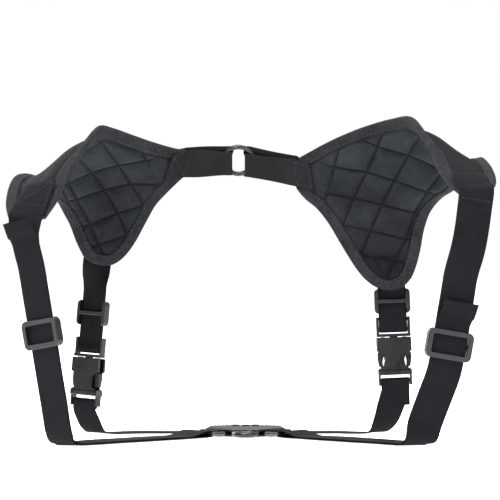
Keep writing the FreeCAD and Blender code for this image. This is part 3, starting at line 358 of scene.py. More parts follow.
# ------------------------------------------------------------ front straps
# the yoke lies on the rest surface, its middle at YOKE_C
YOKE_C = V(-4.0, 75.0, REST_Z)
BAR_R = 1.6
RING_Z = REST_Z + 2 * WEB_T + BAR_R - 0.5       # square ring wire centre height
WR = BAR_R + 0.2 + WEB_T / 2                    # ply centre distance from a wrapped bar


def front_strap(pad, tag, sew_uv, yaw_deg, line, land, ring_bar, head, tail_z):
    w, n = yaw(yaw_deg)
    keys = []
    for u, v, off, wv in sew_uv:
        keys.append(on_pad(pad, u, v, wv, 1, FRONT_WEB_W))
    for q in line:
        keys.append((V(*q), w))
    for q, wq in land:
        keys.append((V(*q), unit(wq)))
    # last run on the surface, level with the top ply, rising over the ring bar
    hw = unit(V(head.y, -head.x, 0))
    if hw.dot(w) < 0:
        hw = hw * -1
    top = REST_Z + 2.05
    for d in (70.0, 40.0, 22.0):
        keys.append((V(ring_bar.x, ring_bar.y, top) - head * d, hw))
    keys.append((V(ring_bar.x, ring_bar.y, RING_Z + WR) - head * 8.0, hw))
    keys.append((V(ring_bar.x, ring_bar.y, RING_Z + WR), hw))
    main = path_stations(keys, 1, FRONT_WEB_W, WEB_T)
    if main[len(main) // 3][2].dot(n) < 0:
        main = [(p, ww, nn * -1, a, b) for p, ww, nn, a, b in main]
    # lower ply: back from the ring, under the top ply, up through the tri-glide
    back = []
    for p, ww, nn, a, b in main:
        q = p + nn * PLY
        if abs(nn.z) > 0.9:
            q.z = REST_Z + 0.1 + WEB_T / 2
        back.append((q, ww, nn * -1, a, b))
    c = V(ring_bar.x, ring_bar.y, RING_Z)
    turn = wrap(c, hw, ZUP, head, WR, FRONT_WEB_W, WEB_T)
    turn = [(p, main[-1][1], o * (1 if main[-1][2].z > 0 else -1), a, b) for p, ww, o, a, b in turn]
    first = min(i for i in range(len(back)) if back[i][0].z < tail_z)
    hi, lo = back[first - 1], back[first]
    f = (tail_z - lo[0].z) / (hi[0].z - lo[0].z)
    end = (lerp(lo[0], hi[0], f), unit(lerp(lo[1], hi[1], f)), unit(lerp(lo[2], hi[2], f)), FRONT_WEB_W, WEB_T)
    ret = list(reversed(back[first:])) + [end]
    ret = [s for s in ret if (V(s[0].x, s[0].y, 0) - V(c.x, c.y, 0)).length > 4.0 or s[0].z > REST_Z + 20]
    st = main[:-1] + turn + ret
    # the tail leaves the main ply a little, and ends in a folded hem
    e = end
    t = unit(hi[0] - lo[0])
    st.append((e[0] + t * 5.0 - e[2] * 0.5, e[1], e[2], FRONT_WEB_W, WEB_T))
    st.append((e[0] + t * 6.0 - e[2] * 1.1, e[1], e[2], FRONT_WEB_W, WEB_T * 2.1))
    st.append((e[0] + t * 19.0 - e[2] * 2.6, e[1], e[2], FRONT_WEB_W, WEB_T * 2.1))
    save(tag + "_front_strap", ribbon(st))
    return main


def axes_on(a, b, n):
    """Up direction, width direction and normal on the straight run from a down to b."""
    up = unit(a - b)
    nn = unit(n - up * n.dot(up))
    return up.cross(nn), up, nn


# left front strap
LW, LN = yaw(-40.0)
La, Lb = V(-185.1, -70.0, -99.1), V(-169.6, -73.5, -190.3)
l_line = [(-189.8, -67.5, -80.5), tuple(La), tuple(along(La, Lb, 0.08)), tuple(along(La, Lb, 0.5)), tuple(along(La, Lb, 0.94)), tuple(Lb), tuple(along(La, Lb, 1.3))]
l_head = unit(V(0.714, 0.70, 0))
l_chamfer = YOKE_C - l_head * 35.0
l_bar = l_chamfer - l_head * 21.2
l_land = [((-161.2, -75.0, REST_Z + 13.0), LW), ((-158.3, -73.3, REST_Z + 5.0), LW), ((-152.0, -69.0, REST_Z + 2.1), V(.70, -.714, 0))]
l_land += [(tuple(l_bar - l_head * d + V(0, 0, 2.05)), V(.70, -.714, 0)) for d in (133.0, 95.0)]
l_main = front_strap(LP, "left", [(0.42, 0.17, 4.9, V(.86, -.15, .4)), (0.45, 0.10, 4.7, V(.88, -.2, .25)), (0.48, 0.045, 4.3, V(.9, -.25, .12)), (0.5, 0.0, 3.4, V(.88, -.4, .02))],
                    -40.0, l_line, l_land, l_bar, l_head, -82.0)

# right front strap
RW, RN = yaw(12.0)
Ra, Rb = V(178.5, -74.0, -107.6), V(164.5, -75.0, -188.5)
r_line = [(188.6, -69.5, -62.0), (185.6, -72.5, -82.0), tuple(Ra), tuple(along(Ra, Rb, 0.08)), tuple(along(Ra, Rb, 0.5)), tuple(along(Ra, Rb, 0.94)), tuple(Rb), (157.6, -75.0, -208.0)]
r_head = unit(V(-0.70, 0.714, 0))
r_chamfer = YOKE_C - r_head * 35.0
r_bar = r_chamfer - r_head * 21.2
r_land = [((148.5, -75.0, -231.0), RW), ((144.3, -74.0, REST_Z + 8.0), RW + V(-.05, .1, 0)), ((138.8, -69.5, REST_Z + 2.5), V(.76, .65, 0))]
r_land += [(tuple(r_bar - r_head * d + V(0, 0, 2.05)), V(.714, .70, 0)) for d in (133.0, 95.0)]
r_main = front_strap(RP, "right", [(0.5, 0.115, 4.9, V(.93, .05, .1)), (0.5, 0.07, 4.6, V(.95, .05, .05)), (0.5, 0.03, 4.1, V(.97, .1, .02)), (0.5, 0.0, 3.4, V(.98, .15, .02))],
                    12.0, r_line, r_land, r_bar, r_head, -151.0)

# square rings and their keepers at the yoke
for tag, bar, head, cham in (("left", l_bar, l_head, l_chamfer), ("right", r_bar, r_head, r_chamfer)):
    w = unit(V(head.y, -head.x, 0))
    c0 = V(bar.x, bar.y, RING_Z)
    c1 = c0 + head * 12.2
    # keeper: both plies run from the ring's inner bar into the yoke
    kw = 24.0
    top_in, low_in = REST_Z + 1.7 + 0.2 + WEB_T * 1.5 + 0.2, REST_Z + 1.7 + 0.1 + WEB_T * 0.5
    far = 21.0
    st = [(V(0, 0, low_in) + V(c1.x, c1.y, 0) + head * far, w, ZUP * -1, kw, WEB_T),
          (V(0, 0, low_in) + V(c1.x, c1.y, 0) + head * 8.0, w, ZUP * -1, kw, WEB_T),
          (V(c1.x, c1.y, RING_Z - WR) + head * 2.5, w, ZUP * -1, kw, WEB_T)]
    for i in range(7):
        ang = math.pi * i / 6
        o = ZUP * (-math.cos(ang)) - head * math.sin(ang)
        st.append((c1 + o * WR, w, o, kw, WEB_T))
    st += [(V(c1.x, c1.y, RING_Z + WR) + head * 2.5, w, ZUP, kw, WEB_T),
           (V(0, 0, top_in) + V(c1.x, c1.y, 0) + head * 8.0, w, ZUP, kw, WEB_T),
           (V(0, 0, top_in) + V(c1.x, c1.y, 0) + head * far, w, ZUP, kw, WEB_T)]
    save(tag + "_yoke_keeper", ribbon(st))

# ------------------------------------------------------------ side straps
def side_strap(pad, tag, xz, yaw_deg, a, b, up_tail, base_c):
    """Webbing sewn behind the lower lobe, down to the buckle bar and back up behind itself."""
    w, n = yaw(yaw_deg)
    keys = []
    for x, z, off in xz:
        u, v = pad.find(x, z)
        keys.append(on_pad(pad, u, v, V(1, -0.1, 0), 1, SIDE_WEB_W, 0.35))
    xa, up, nn = axes_on(a, b, n)
    bar = base_c + up * 7.1 - nn * (PLY / 2)
    foot = bar + up * 6.0 + nn * (PLY / 2)
    for f in (0.0, 0.12, 0.5, 0.85):
        keys.append((a + (foot - a) * f, xa))
    r = 1.7 + 0.2 + WEB_T / 2
    keys.append((foot, xa))
    main = path_stations(keys, 1, SIDE_WEB_W, WEB_T)
    if main[-3][2].dot(n) < 0:
        main = [(p, ww, m * -1, c, d) for p, ww, m, c, d in main]
    turn = wrap(bar, xa, nn, up * -1, r, SIDE_WEB_W, WEB_T)
    back = [(bar + up * 6.0 - nn * (PLY / 2), xa, nn * -1, SIDE_WEB_W, WEB_T)]
    top = a + up * up_tail
    k = 4
    for i in range(1, k + 1):
        q = bar + up * 6.0 - nn * (PLY / 2)
        d = (top - q).dot(up)
        back.append((q + up * (d * i / k), xa, nn * -1, SIDE_WEB_W, WEB_T))
    save(tag + "_side_strap", ribbon(main + turn + back))
    return xa, up, nn


def lower_side(tag, o, xa, up, nn, land, tail):
    """From the female buckle's bar down to the surface and into the yoke."""
    c = o - up * 39.3 - nn * (PLY / 2)
    r = 1.7 + 0.2 + WEB_T / 2
    st = [(c - up * tail - nn * 1.0, xa, nn * -1, SIDE_WEB_W, WEB_T),
          (c - up * 2.4 - nn * (r + 0.05), xa, nn * -1, SIDE_WEB_W, WEB_T)]
    turn = list(reversed(wrap(c, xa, nn, up, r, SIDE_WEB_W, WEB_T)))
    st += [(p, w, o2, a, b) for p, w, o2, a, b in turn]
    keys = [(c + nn * r, xa), (c + nn * (r - 0.6) - up * 3.5, xa), (c + nn * 1.0 - up * 7.0, xa)]
    for q, wq in land:
        keys.append((V(*q), unit(V(*wq))))
    low = path_stations(keys, 1, SIDE_WEB_W, WEB_T)
    if low[0][2].dot(nn) < 0:
        low = [(p, w, m * -1, a, b) for p, w, m, a, b in low]
    save(tag + "_lower_side_strap", ribbon(st + low[1:]))


# left
a, b = V(-138.9, 74.6, -121.0), V(-143.0, 73.0, -170.0)
lo = V(-144.0, 73.0, -185.1)
lo = along(a, b, (lo.z - a.z) / (b.z - a.z))
l_xa, l_up, l_nn = side_strap(LP, "left", [(-133.0, -72.0, 4.9), (-134.5, -84.0, 4.6), (-135.8, -95.0, 4.0), (-136.6, -101.0, 3.6)], -36.0, a, b, 8.0, lo)
lo = along(a, b, (lo.z - a.z) / (b.z - a.z))
lc = lo - l_up * 39.3
SOCKET["left"] = (lo, l_up)
lower_side("left", lo, l_xa, l_up, l_nn,
           [((lc.x + 4.0, lc.y + 1.0, REST_Z + 11.0), (.84, -.54, 0)), ((lc.x + 9.0, lc.y + 5.0, REST_Z + 3.0), (.78, -.62, 0)), ((lc.x + 18.0, lc.y + 11.5, REST_Z + 0.75), (.62, -.78, 0)),
            ((lc.x + 45.0, lc.y + 22.0, REST_Z + 0.75), (.28, -.96, 0)), ((lc.x + 80.0, lc.y + 24.0, REST_Z + 0.75), (-.05, -1, 0)), ((-48.0, 90.0, REST_Z + 1.4), (-.16, -.99, 0)), ((-40.5, 88.9, REST_Z + 2.6), (-.18, -.98, 0)), ((-18.0, 85.0, REST_Z + 2.85), (-.18, -.98, 0))], 6.5)
# right
a, b = V(127.1, 76.2, -129.0), V(130.3, 75.0, -209.9)
ro = along(a, b, (-166.9 - a.z) / (b.z - a.z))
r_xa, r_up, r_nn = side_strap(RP, "right", [(122.0, -84.0, 4.9), (123.5, -98.0, 4.6), (124.9, -111.0, 4.2), (126.0, -119.0, 3.8)], 3.0, a, b, 6.0, ro)
a = V(127.1, 76.2, -129.0)
ro = along(a, b, (-166.9 - a.z) / (b.z - a.z))
SOCKET["right"] = (ro, r_up)
rc = ro - r_up * 39.3
lower_side("right", ro, r_xa, r_up, r_nn,
           [((rc.x - 3.5, rc.y + 0.5, rc.z - 20.0), (.97, .2, 0)), ((rc.x - 9.0, rc.y + 2.0, REST_Z + 12.0), (.9, .45, 0)), ((rc.x - 15.0, rc.y + 6.0, REST_Z + 3.0), (.75, .66, 0)), ((rc.x - 25.0, rc.y + 12.0, REST_Z + 0.75), (.55, .84, 0)),
            ((rc.x - 50.0, rc.y + 20.0, REST_Z + 0.75), (.2, .98, 0)), ((rc.x - 75.0, rc.y + 20.0, REST_Z + 0.75), (-.08, 1, 0)), ((40.0, 90.0, REST_Z + 1.4), (-.17, .98, 0)), ((32.5, 88.9, REST_Z + 2.6), (-.18, .98, 0)), ((10.0, 85.0, REST_Z + 2.85), (-.18, .98, 0))], 22.0)

# ------------------------------------------------------------ shoulder ring and links
tilt = math.radians(RING_TILT)
ring_up = V(0, -math.sin(tilt), math.cos(tilt))
ring_n = V(0, -math.cos(tilt), -math.sin(tilt))


def link(pad, tag, sx, xz_front, wdirs):
    """Webbing loop: lining side of the pad, round the ring, back on the outer side."""
    wr = 17.0
    c = RING_C + V(sx * (RING_R - 3.7), 0, 0)
    r = RING_TUBE + 0.45 + WEB_T / 2
    front, rear = [], []
    for (x, z, f_off, b_off), wd in zip(xz_front, wdirs):
        u, v = pad.find(x, z)
        p, du, dv, nn = pad.frame(u, v)
        q, wq = on_pad(pad, u, v, V(*wd), -1, SIDE_WEB_W)
        front.append((q, wq, nn * -1, SIDE_WEB_W - 0.6, WEB_T))
        q, wq = on_pad(pad, u, v, V(*wd), 1, SIDE_WEB_W)
        rear.append((q, wq, nn, SIDE_WEB_W - 0.6, WEB_T))
    d = V(-sx, 0, 0)          # from the pad towards the ring
    st = list(front)
    n0 = front[-1][2]
    mid = RING_C + V(sx * (RING_R + 12.0), 0, 0)
    st.append((mid + ring_n * (r - 0.3), unit(ring_up + V(*wdirs[-1])), ring_n, 21.0, WEB_T))
    st.append((RING_C + V(sx * (RING_R + 3.0), 0, 0) + ring_n * r, ring_up, ring_n, 17.6, WEB_T))
    for i in range(9):
        ang = math.pi * i / 8
        o = ring_n * math.cos(ang) + d * math.sin(ang)
        st.append((c + o * r, ring_up, o, wr, WEB_T))
    st.append((RING_C + V(sx * (RING_R + 3.0), 0, 0) - ring_n * r, ring_up, ring_n * -1, 17.6, WEB_T))
    st.append((mid - ring_n * (r - 0.3), unit(ring_up + V(*wdirs[-1])), ring_n * -1, 21.0, WEB_T))
    st += list(reversed(rear))
    save(tag + "_ring_link", ribbon(st))


link(LP, "left", -1, [(-75.0, -14.0, 5.3, 5.0), (-66.0, -12.5, 4.9, 4.4), (-58.5, -11.5, 4.0, 3.6), (-54.6, -11.3, 3.4, 3.0)],
     [(.25, -.15, .95)] * 3 + [(.2, -.3, .93)])
link(RP, "right", 1, [(57.0, -24.5, 5.3, 5.0), (50.0, -22.5, 4.7, 4.4), (45.0, -20.5, 3.9, 3.6), (42.0, -19.5, 3.4, 3.0)],
     [(-.2, -.2, .95)] * 3 + [(-.15, -.3, .94)])

# ------------------------------------------------------------ swivel snap hook, lying in front of the yoke
HX, HZ = YOKE_C.x, REST_Z + 5.2
hy = YOKE_C.y - 41.0
eye_y = hy - 8.0
# tab: leather loop round the eye bar
tw = 14.0
st = []
lowt, topt = REST_Z + 2.4, REST_Z + 3.85
ec = V(HX, eye_y, HZ)
st = [(V(HX, hy + 13, lowt), V(1, 0, 0), ZUP * -1, tw, WEB_T), (V(HX, hy + 1, lowt), V(1, 0, 0), ZUP * -1, tw, WEB_T), (ec + V(0, 1.5, -WR), V(1, 0, 0), ZUP * -1, tw, WEB_T)]
for i in range(7):
    ang = math.pi * i / 6
    o = ZUP * (-math.cos(ang)) - V(0, 1, 0) * math.sin(ang)
    st.append((ec + o * WR, V(1, 0, 0), o, tw, WEB_T))
st += [(ec + V(0, 1.5, WR), V(1, 0, 0), ZUP, tw, WEB_T), (V(HX, hy + 1, topt), V(1, 0, 0), ZUP, tw, WEB_T), (V(HX, hy + 13, topt), V(1, 0, 0), ZUP, tw, WEB_T)]
save("hook_tab", ribbon(st))
# ------------------------------------------------------------ mesh helpers
MM = 0.001
TAPE_GAP = 0.35            # the folded tape as it shows, above the layers it covers
rng = random.Random(7)


def mesh_obj(name, verts, faces, uvs=None, mat=None, smooth=True, mats=None, fmat=None):
    me = bpy.data.meshes.new(name)
    me.from_pydata([(v[0] * MM, v[1] * MM, v[2] * MM) for v in verts], [], faces)
    me.validate()
    if uvs is not None:
        lay = me.uv_layers.new(name="UVMap")
        for poly in me.polygons:
            for li, vi in zip(poly.loop_indices, poly.vertices):
                lay.data[li].uv = uvs[vi]
    if smooth:
        me.polygons.foreach_set("use_smooth", [True] * len(me.polygons))
    for m in (mats or ([mat] if mat else [])):
        me.materials.append(m)
    if fmat:
        me.polygons.foreach_set("material_index", fmat)
    me.update()
    ob = bpy.data.objects.new(name, me)
    bpy.context.scene.collection.objects.link(ob)
    return ob


def fix_normals(ob):
    bm = bmesh.new()
    bm.from_mesh(ob.data)
    bmesh.ops.recalc_face_normals(bm, faces=bm.faces)
    bm.to_mesh(ob.data)
    bm.free()
    return ob


def strap_mesh(name, st, mat, nodes, wobble=0.12, cup=0.0, body="harness", seed=1):
    """Closed woven strap through stations, with rounded selvedges and a slight uneven lie."""
    prof = []
    k = 8
    for i in range(k + 1):
        prof.append((-1 + 2 * i / k, 1))
    sec = [(-1.0, -0.45), (-0.985, -0.85), (-0.95, -1.0)] + [(-0.9 + 1.8 * i / 12, -1.0) for i in range(13)] + [(0.95, -1.0), (0.985, -0.85), (1.0, -0.45),
           (1.0, 0.45), (0.985, 0.85), (0.95, 1.0)] + [(0.9 - 1.8 * i / 12, 1.0) for i in range(13)] + [(-0.95, 1.0), (-0.985, 0.85), (-1.0, 0.45)]
    m = len(sec)
    verts, uvs, faces = [], [], []
    s = 0.0
    r = random.Random(seed)
    ph = [r.uniform(0, 6.28) for _ in range(6)]
    lens = [0.0]
    for a, b in zip(st, st[1:]):
        lens.append(lens[-1] + (b[0] - a[0]).length)
    total = lens[-1]
    for (p, w, n, wd, t), s in zip(st, lens):
        fade = smooth(min(s, total - s) / 10.0)
        for x, z in sec:
            ex = (abs(x)) ** 6
            lie = wobble * fade * (0.6 * math.sin(s / 17.0 + ph[0] + x * 0.8) + 0.4 * math.sin(s / 7.3 + ph[1] - x * 1.3))
            thin = 1.0 - 0.12 * ex
            wide = wd / 2 * (1 + 0.004 * math.sin(s / 9.0 + ph[2]))
            q = p + w * (x * wide) + n * (z * t / 2 * thin + lie + cup * (x * x))
            verts.append(q)
            uvs.append((x * wd / 2 * MM, s * MM))
    for i in range(len(st) - 1):
        for j in range(m):
            a, b = i * m + j, i * m + (j + 1) % m
            faces.append((a, b, b + m, a + m))
    faces.append(tuple(range(m - 1, -1, -1)))
    faces.append(tuple(range((len(st) - 1) * m, len(st) * m)))
    ob = mesh_obj(name, verts, faces, uvs, mat)
    fix_normals(ob)
    if nodes:
        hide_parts(*nodes)
    if body:
        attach(ob, body)
    return ob


def dense(st, step=2.5):
    """Finer stations between the given ones, turning smoothly."""
    out = []
    n = len(st)
    for i in range(n - 1):
        p0, p1, p2, p3 = st[max(0, i - 1)], st[i], st[i + 1], st[min(n - 1, i + 2)]
        L = (p2[0] - p1[0]).length
        c = max(1, int(math.ceil(L / step)))
        m1 = (p2[0] - p0[0]) * (L / max(1e-6, (p1[0] - p0[0]).length + L)) if i > 0 else (p2[0] - p1[0])
        m2 = (p3[0] - p1[0]) * (L / max(1e-6, (p3[0] - p2[0]).length + L)) if i < n - 2 else (p2[0] - p1[0])
        for k in range(c):
            t = k / c
            h00, h10, h01, h11 = 2 * t ** 3 - 3 * t * t + 1, t ** 3 - 2 * t * t + t, -2 * t ** 3 + 3 * t * t, t ** 3 - t * t
            pos = p1[0] * h00 + m1 * h10 + p2[0] * h01 + m2 * h11
            w = unit(lerp(p1[1], p2[1], t))
            nn = lerp(p1[2], p2[2], t)
            nn = unit(nn - w * nn.dot(w)) if nn.length > 1e-3 else p1[2]
            out.append((pos, w, nn, p1[3] + (p2[3] - p1[3]) * t, p1[4] + (p2[4] - p1[4]) * t))
    out.append(st[-1])
    return out


def thread(name, runs, mat, r=0.28, length=2.3, gap=0.9, body="harness", lift=0.0):
    """Machine stitches: short rounded threads set along polylines of (point, normal)."""
    verts, faces = [], []
    for line in runs:
        d = [0.0]
        for a, b in zip(line, line[1:]):
            d.append(d[-1] + (b[0] - a[0]).length)

        def at(s):
            k = 0
            while k < len(d) - 2 and d[k + 1] < s:
                k += 1
            f = (s - d[k]) / max(1e-6, d[k + 1] - d[k])
            return lerp(line[k][0], line[k + 1][0], f), unit(lerp(line[k][1], line[k + 1][1], f))
        s = 0.2
        while s + length < d[-1]:
            (a, na), (b, nb) = at(s), at(s + length)
            t = unit(b - a)
            side = unit(t.cross(na))
            rows = []
            for f, rr, up in ((0.0, 0.35, -0.5), (0.2, 0.9, 0.25), (0.5, 1.0, 0.5), (0.8, 0.9, 0.25), (1.0, 0.35, -0.5)):
                c = lerp(a, b, f) + na * (up * r + lift)
                rows.append([c + side * (math.cos(q) * r * rr) + na * (math.sin(q) * r * rr) for q in [math.pi * k / 3 for k in range(6)]])
            base = len(verts)
            for row in rows:
                verts.extend(row)
            for i in range(4):
                for j in range(6):
                    faces.append((base + i * 6 + j, base + i * 6 + (j + 1) % 6, base + (i + 1) * 6 + (j + 1) % 6, base + (i + 1) * 6 + j))
            faces.append(tuple(base + j for j in range(5, -1, -1)))
            faces.append(tuple(base + 24 + j for j in range(6)))
            s += length + gap
    ob = mesh_obj(name, verts, faces, None, mat)
    fix_normals(ob)
    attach(ob, body)
    return ob


# ------------------------------------------------------------ materials
def new_mat(name):
    m = bpy.data.materials.new(name)
    m.use_nodes = True
    nt = m.node_tree
    return m, nt, nt.nodes["Principled BSDF"], nt.nodes.new


def ramp(nt, fac, stops):
    r = nt.nodes.new("ShaderNodeValToRGB")
    while len(r.color_ramp.elements) < len(stops):
        r.color_ramp.elements.new(0.5)
    for e, (p, c) in zip(r.color_ramp.elements, stops):
        e.position = p
        e.color = (*c, 1)
    nt.links.new(fac, r.inputs["Fac"])
    return r.outputs["Color"]


def math_node(nt, op, a, b=None):
    n = nt.nodes.new("ShaderNodeMath")
    n.operation = op
    for i, v in enumerate((a, b)):
        if v is None:
            continue
        if isinstance(v, (int, float)):
            n.inputs[i].default_value = v
        else:
            nt.links.new(v, n.inputs[i])
    return n.outputs[0]


def noise(nt, vec, scale, detail=3.0, rough=0.55):
    n = nt.nodes.new("ShaderNodeTexNoise")
    n.inputs["Scale"].default_value = scale
    n.inputs["Detail"].default_value = detail
    n.inputs["Roughness"].default_value = rough
    if vec is not None:
        nt.links.new(vec, n.inputs["Vector"])
    return n.outputs["Fac"]


def bump(nt, bsdf, height, dist, strength=1.0):
    b = nt.nodes.new("ShaderNodeBump")
    b.inputs["Strength"].default_value = strength
    b.inputs["Distance"].default_value = dist
    nt.links.new(height, b.inputs["Height"])
    nt.links.new(b.outputs["Normal"], bsdf.inputs["Normal"])


def obj_coord(nt):
    return nt.nodes.new("ShaderNodeTexCoord").outputs["Object"]


def uv_xy(nt):
    u = nt.nodes.new("ShaderNodeTexCoord").outputs["UV"]
    s = nt.nodes.new("ShaderNodeSeparateXYZ")
    nt.links.new(u, s.inputs[0])
    return s.outputs["X"], s.outputs["Y"], u


def webbing_mat(name, dark, light, rib=0.0016, cross=0.0021, rough=0.62, sheen=0.0):
    """Woven webbing: warp ribs along the strap broken by weft rows in a twill step."""
    m, nt, b, new = new_mat(name)
    x, y, uv = uv_xy(nt)
    col = math_node(nt, "FLOOR", math_node(nt, "DIVIDE", x, cross))
    stepv = math_node(nt, "MULTIPLY", math_node(nt, "MODULO", math_node(nt, "ABSOLUTE", col), 2.0), 0.5)
    fy = math_node(nt, "ADD", math_node(nt, "DIVIDE", y, rib), stepv)
    wy = math_node(nt, "SINE", math_node(nt, "MULTIPLY", fy, 6.28318))
    wx = math_node(nt, "SINE", math_node(nt, "MULTIPLY", math_node(nt, "DIVIDE", x, cross), 6.28318))
    wx = math_node(nt, "ABSOLUTE", wx)
    h = math_node(nt, "ADD", math_node(nt, "MULTIPLY", wy, 0.30), math_node(nt, "MULTIPLY", wx, 0.45))
    oc = obj_coord(nt)
    fuzz = noise(nt, oc, 2600.0, 2.0)
    h2 = math_node(nt, "ADD", h, math_node(nt, "MULTIPLY", fuzz, 0.45))
    patch = noise(nt, oc, 38.0, 3.0)
    f = math_node(nt, "ADD", math_node(nt, "MULTIPLY", h2, 0.42), math_node(nt, "MULTIPLY", patch, 0.55))
    c = ramp(nt, f, [(0.12, dark), (0.85, light)])
    nt.links.new(c, b.inputs["Base Color"])
    r = ramp(nt, patch, [(0.3, (rough - 0.07,) * 3), (0.7, (rough + 0.1,) * 3)])
    nt.links.new(r, b.inputs["Roughness"])
    b.inputs["Sheen Weight"].default_value = sheen
    b.inputs["Sheen Roughness"].default_value = 0.45
    b.inputs["Specular IOR Level"].default_value = 0.07
    bump(nt, b, h2, 0.00028, 0.9)
    return m


def knit_mat(name, dark, light, pitch=0.0013, sheen=0.05):
    """Brushed knit: rows of small loops with loose fibre, painted crease shade along the quilting and a painted
    shade gradient that is darker towards the bottom.
    """
    m, nt, b, new = new_mat(name)
    x, y, uv = uv_xy(nt)
    a = math_node(nt, "SINE", math_node(nt, "MULTIPLY", math_node(nt, "DIVIDE", math_node(nt, "ADD", x, y), pitch), 6.28318))
    c2 = math_node(nt, "SINE", math_node(nt, "MULTIPLY", math_node(nt, "DIVIDE", math_node(nt, "SUBTRACT", x, y), pitch), 6.28318))
    cells = math_node(nt, "MULTIPLY", a, c2)
    oc = obj_coord(nt)
    fib = noise(nt, oc, 3200.0, 3.0, 0.7)
    big = noise(nt, oc, 26.0, 4.0)
    mid = noise(nt, oc, 240.0, 3.0)
    speck = noise(nt, oc, 820.0, 2.0, 0.75)
    h = math_node(nt, "ADD", math_node(nt, "MULTIPLY", cells, 0.35), math_node(nt, "MULTIPLY", fib, 0.8))
    f = math_node(nt, "ADD", math_node(nt, "MULTIPLY", cells, 0.17),
                  math_node(nt, "ADD", math_node(nt, "MULTIPLY", big, 0.5), math_node(nt, "ADD", math_node(nt, "MULTIPLY", mid, 0.20), math_node(nt, "MULTIPLY", speck, 0.40))))
    c = ramp(nt, f, [(0.36, dark), (0.86, light)])
    # painted crease shade: a per-point mask mixes the colour towards a quarter of the dark tone along the quilting
    # lines, just inside the binding and in the lobe creases
    at = nt.nodes.new("ShaderNodeAttribute")
    at.attribute_name = "painted_crease_shade"
    crease_shade_mix = nt.nodes.new("ShaderNodeMix")
    crease_shade_mix.data_type = "RGBA"
    nt.links.new(at.outputs["Fac"], crease_shade_mix.inputs["Factor"])
    nt.links.new(c, crease_shade_mix.inputs["A"])
    crease_shade_mix.inputs["B"].default_value = (dark[0] * 0.25, dark[1] * 0.25, dark[2] * 0.25, 1)
    # painted shade gradient: the colour is multiplied darker towards the bottom (object Z), down to 0.6, with some
    # random mottling mixed in
    height = nt.nodes.new("ShaderNodeSeparateXYZ")
    nt.links.new(oc, height.inputs[0])
    painted_height_shade = math_node(nt, "ADD", math_node(nt, "MULTIPLY", height.outputs["Z"], 9.0), math_node(nt, "MULTIPLY", big, 0.35))
    height_shade_multiply = nt.nodes.new("ShaderNodeMix")
    height_shade_multiply.data_type = "RGBA"
    height_shade_multiply.blend_type = "MULTIPLY"
    height_shade_multiply.inputs["Factor"].default_value = 1.0
    nt.links.new(crease_shade_mix.outputs["Result"], height_shade_multiply.inputs["A"])
    nt.links.new(ramp(nt, math_node(nt, "ADD", painted_height_shade, 0.9), [(0.12, (0.60, 0.56, 0.58)), (0.80, (1.0, 1.0, 1.0))]), height_shade_multiply.inputs["B"])
    nt.links.new(height_shade_multiply.outputs["Result"], b.inputs["Base Color"])
    r = ramp(nt, mid, [(0.3, (0.78,) * 3), (0.7, (0.95,) * 3)])
    nt.links.new(r, b.inputs["Roughness"])
    b.inputs["Sheen Weight"].default_value = sheen
    b.inputs["Sheen Roughness"].default_value = 0.5
    b.inputs["Sheen Tint"].default_value = (0.7, 0.85, 1.0, 1)
    b.inputs["Specular IOR Level"].default_value = 0.07
    bump(nt, b, h, 0.00030, 0.85)
    return m


def weave_mat(name, dark, light, pitch=0.0009, rough=0.7, sheen=0.0):
    m, nt, b, new = new_mat(name)
    x, y, uv = uv_xy(nt)
    sx = math_node(nt, "SINE", math_node(nt, "MULTIPLY", math_node(nt, "DIVIDE", x, pitch), 6.28318))
    sy = math_node(nt, "SINE", math_node(nt, "MULTIPLY", math_node(nt, "DIVIDE", y, pitch), 6.28318))
    w = math_node(nt, "MULTIPLY", sx, sy)
    oc = obj_coord(nt)
    fib = noise(nt, oc, 1900.0, 2.0)
    big = noise(nt, oc, 30.0, 4.0)
    h = math_node(nt, "ADD", math_node(nt, "MULTIPLY", w, 0.5), math_node(nt, "MULTIPLY", fib, 0.5))
    f = math_node(nt, "ADD", math_node(nt, "MULTIPLY", h, 0.3), math_node(nt, "MULTIPLY", big, 0.65))
    nt.links.new(ramp(nt, f, [(0.2, dark), (0.8, light)]), b.inputs["Base Color"])
    nt.links.new(ramp(nt, big, [(0.3, (rough - 0.08,) * 3), (0.7, (rough + 0.1,) * 3)]), b.inputs["Roughness"])
    b.inputs["Sheen Weight"].default_value = sheen
    b.inputs["Sheen Roughness"].default_value = 0.4
    b.inputs["Specular IOR Level"].default_value = 0.07
    bump(nt, b, h, 0.00018, 0.8)
    return m


def tape_mat(name, dark, light):
    """Ribbed binding tape: ribs run across its width."""
    m, nt, b, new = new_mat(name)
    x, y, uv = uv_xy(nt)
    rib = math_node(nt, "SINE", math_node(nt, "MULTIPLY", math_node(nt, "DIVIDE", y, 0.0011), 6.28318))
    oc = obj_coord(nt)
    fib = noise(nt, oc, 2200.0, 2.0)
    big = noise(nt, oc, 45.0, 3.0)
    h = math_node(nt, "ADD", math_node(nt, "MULTIPLY", rib, 0.5), math_node(nt, "MULTIPLY", fib, 0.5))
    # painted shade: random darker patches about 3 mm across stand in for the shading of small tape puckers
    pucker_shade_noise = noise(nt, oc, 330.0, 2.0, 0.6)
    f = math_node(nt, "ADD", math_node(nt, "MULTIPLY", h, 0.20), math_node(nt, "ADD", math_node(nt, "MULTIPLY", big, 0.35), math_node(nt, "MULTIPLY", pucker_shade_noise, 0.45)))
    nt.links.new(ramp(nt, f, [(0.28, dark), (0.8, light)]), b.inputs["Base Color"])
    nt.links.new(ramp(nt, big, [(0.3, (0.56,) * 3), (0.7, (0.74,) * 3)]), b.inputs["Roughness"])
    b.inputs["Sheen Weight"].default_value = 0.02
    b.inputs["Sheen Roughness"].default_value = 0.4
    b.inputs["Specular IOR Level"].default_value = 0.07
    bump(nt, b, h, 0.00022, 0.9)
    return m


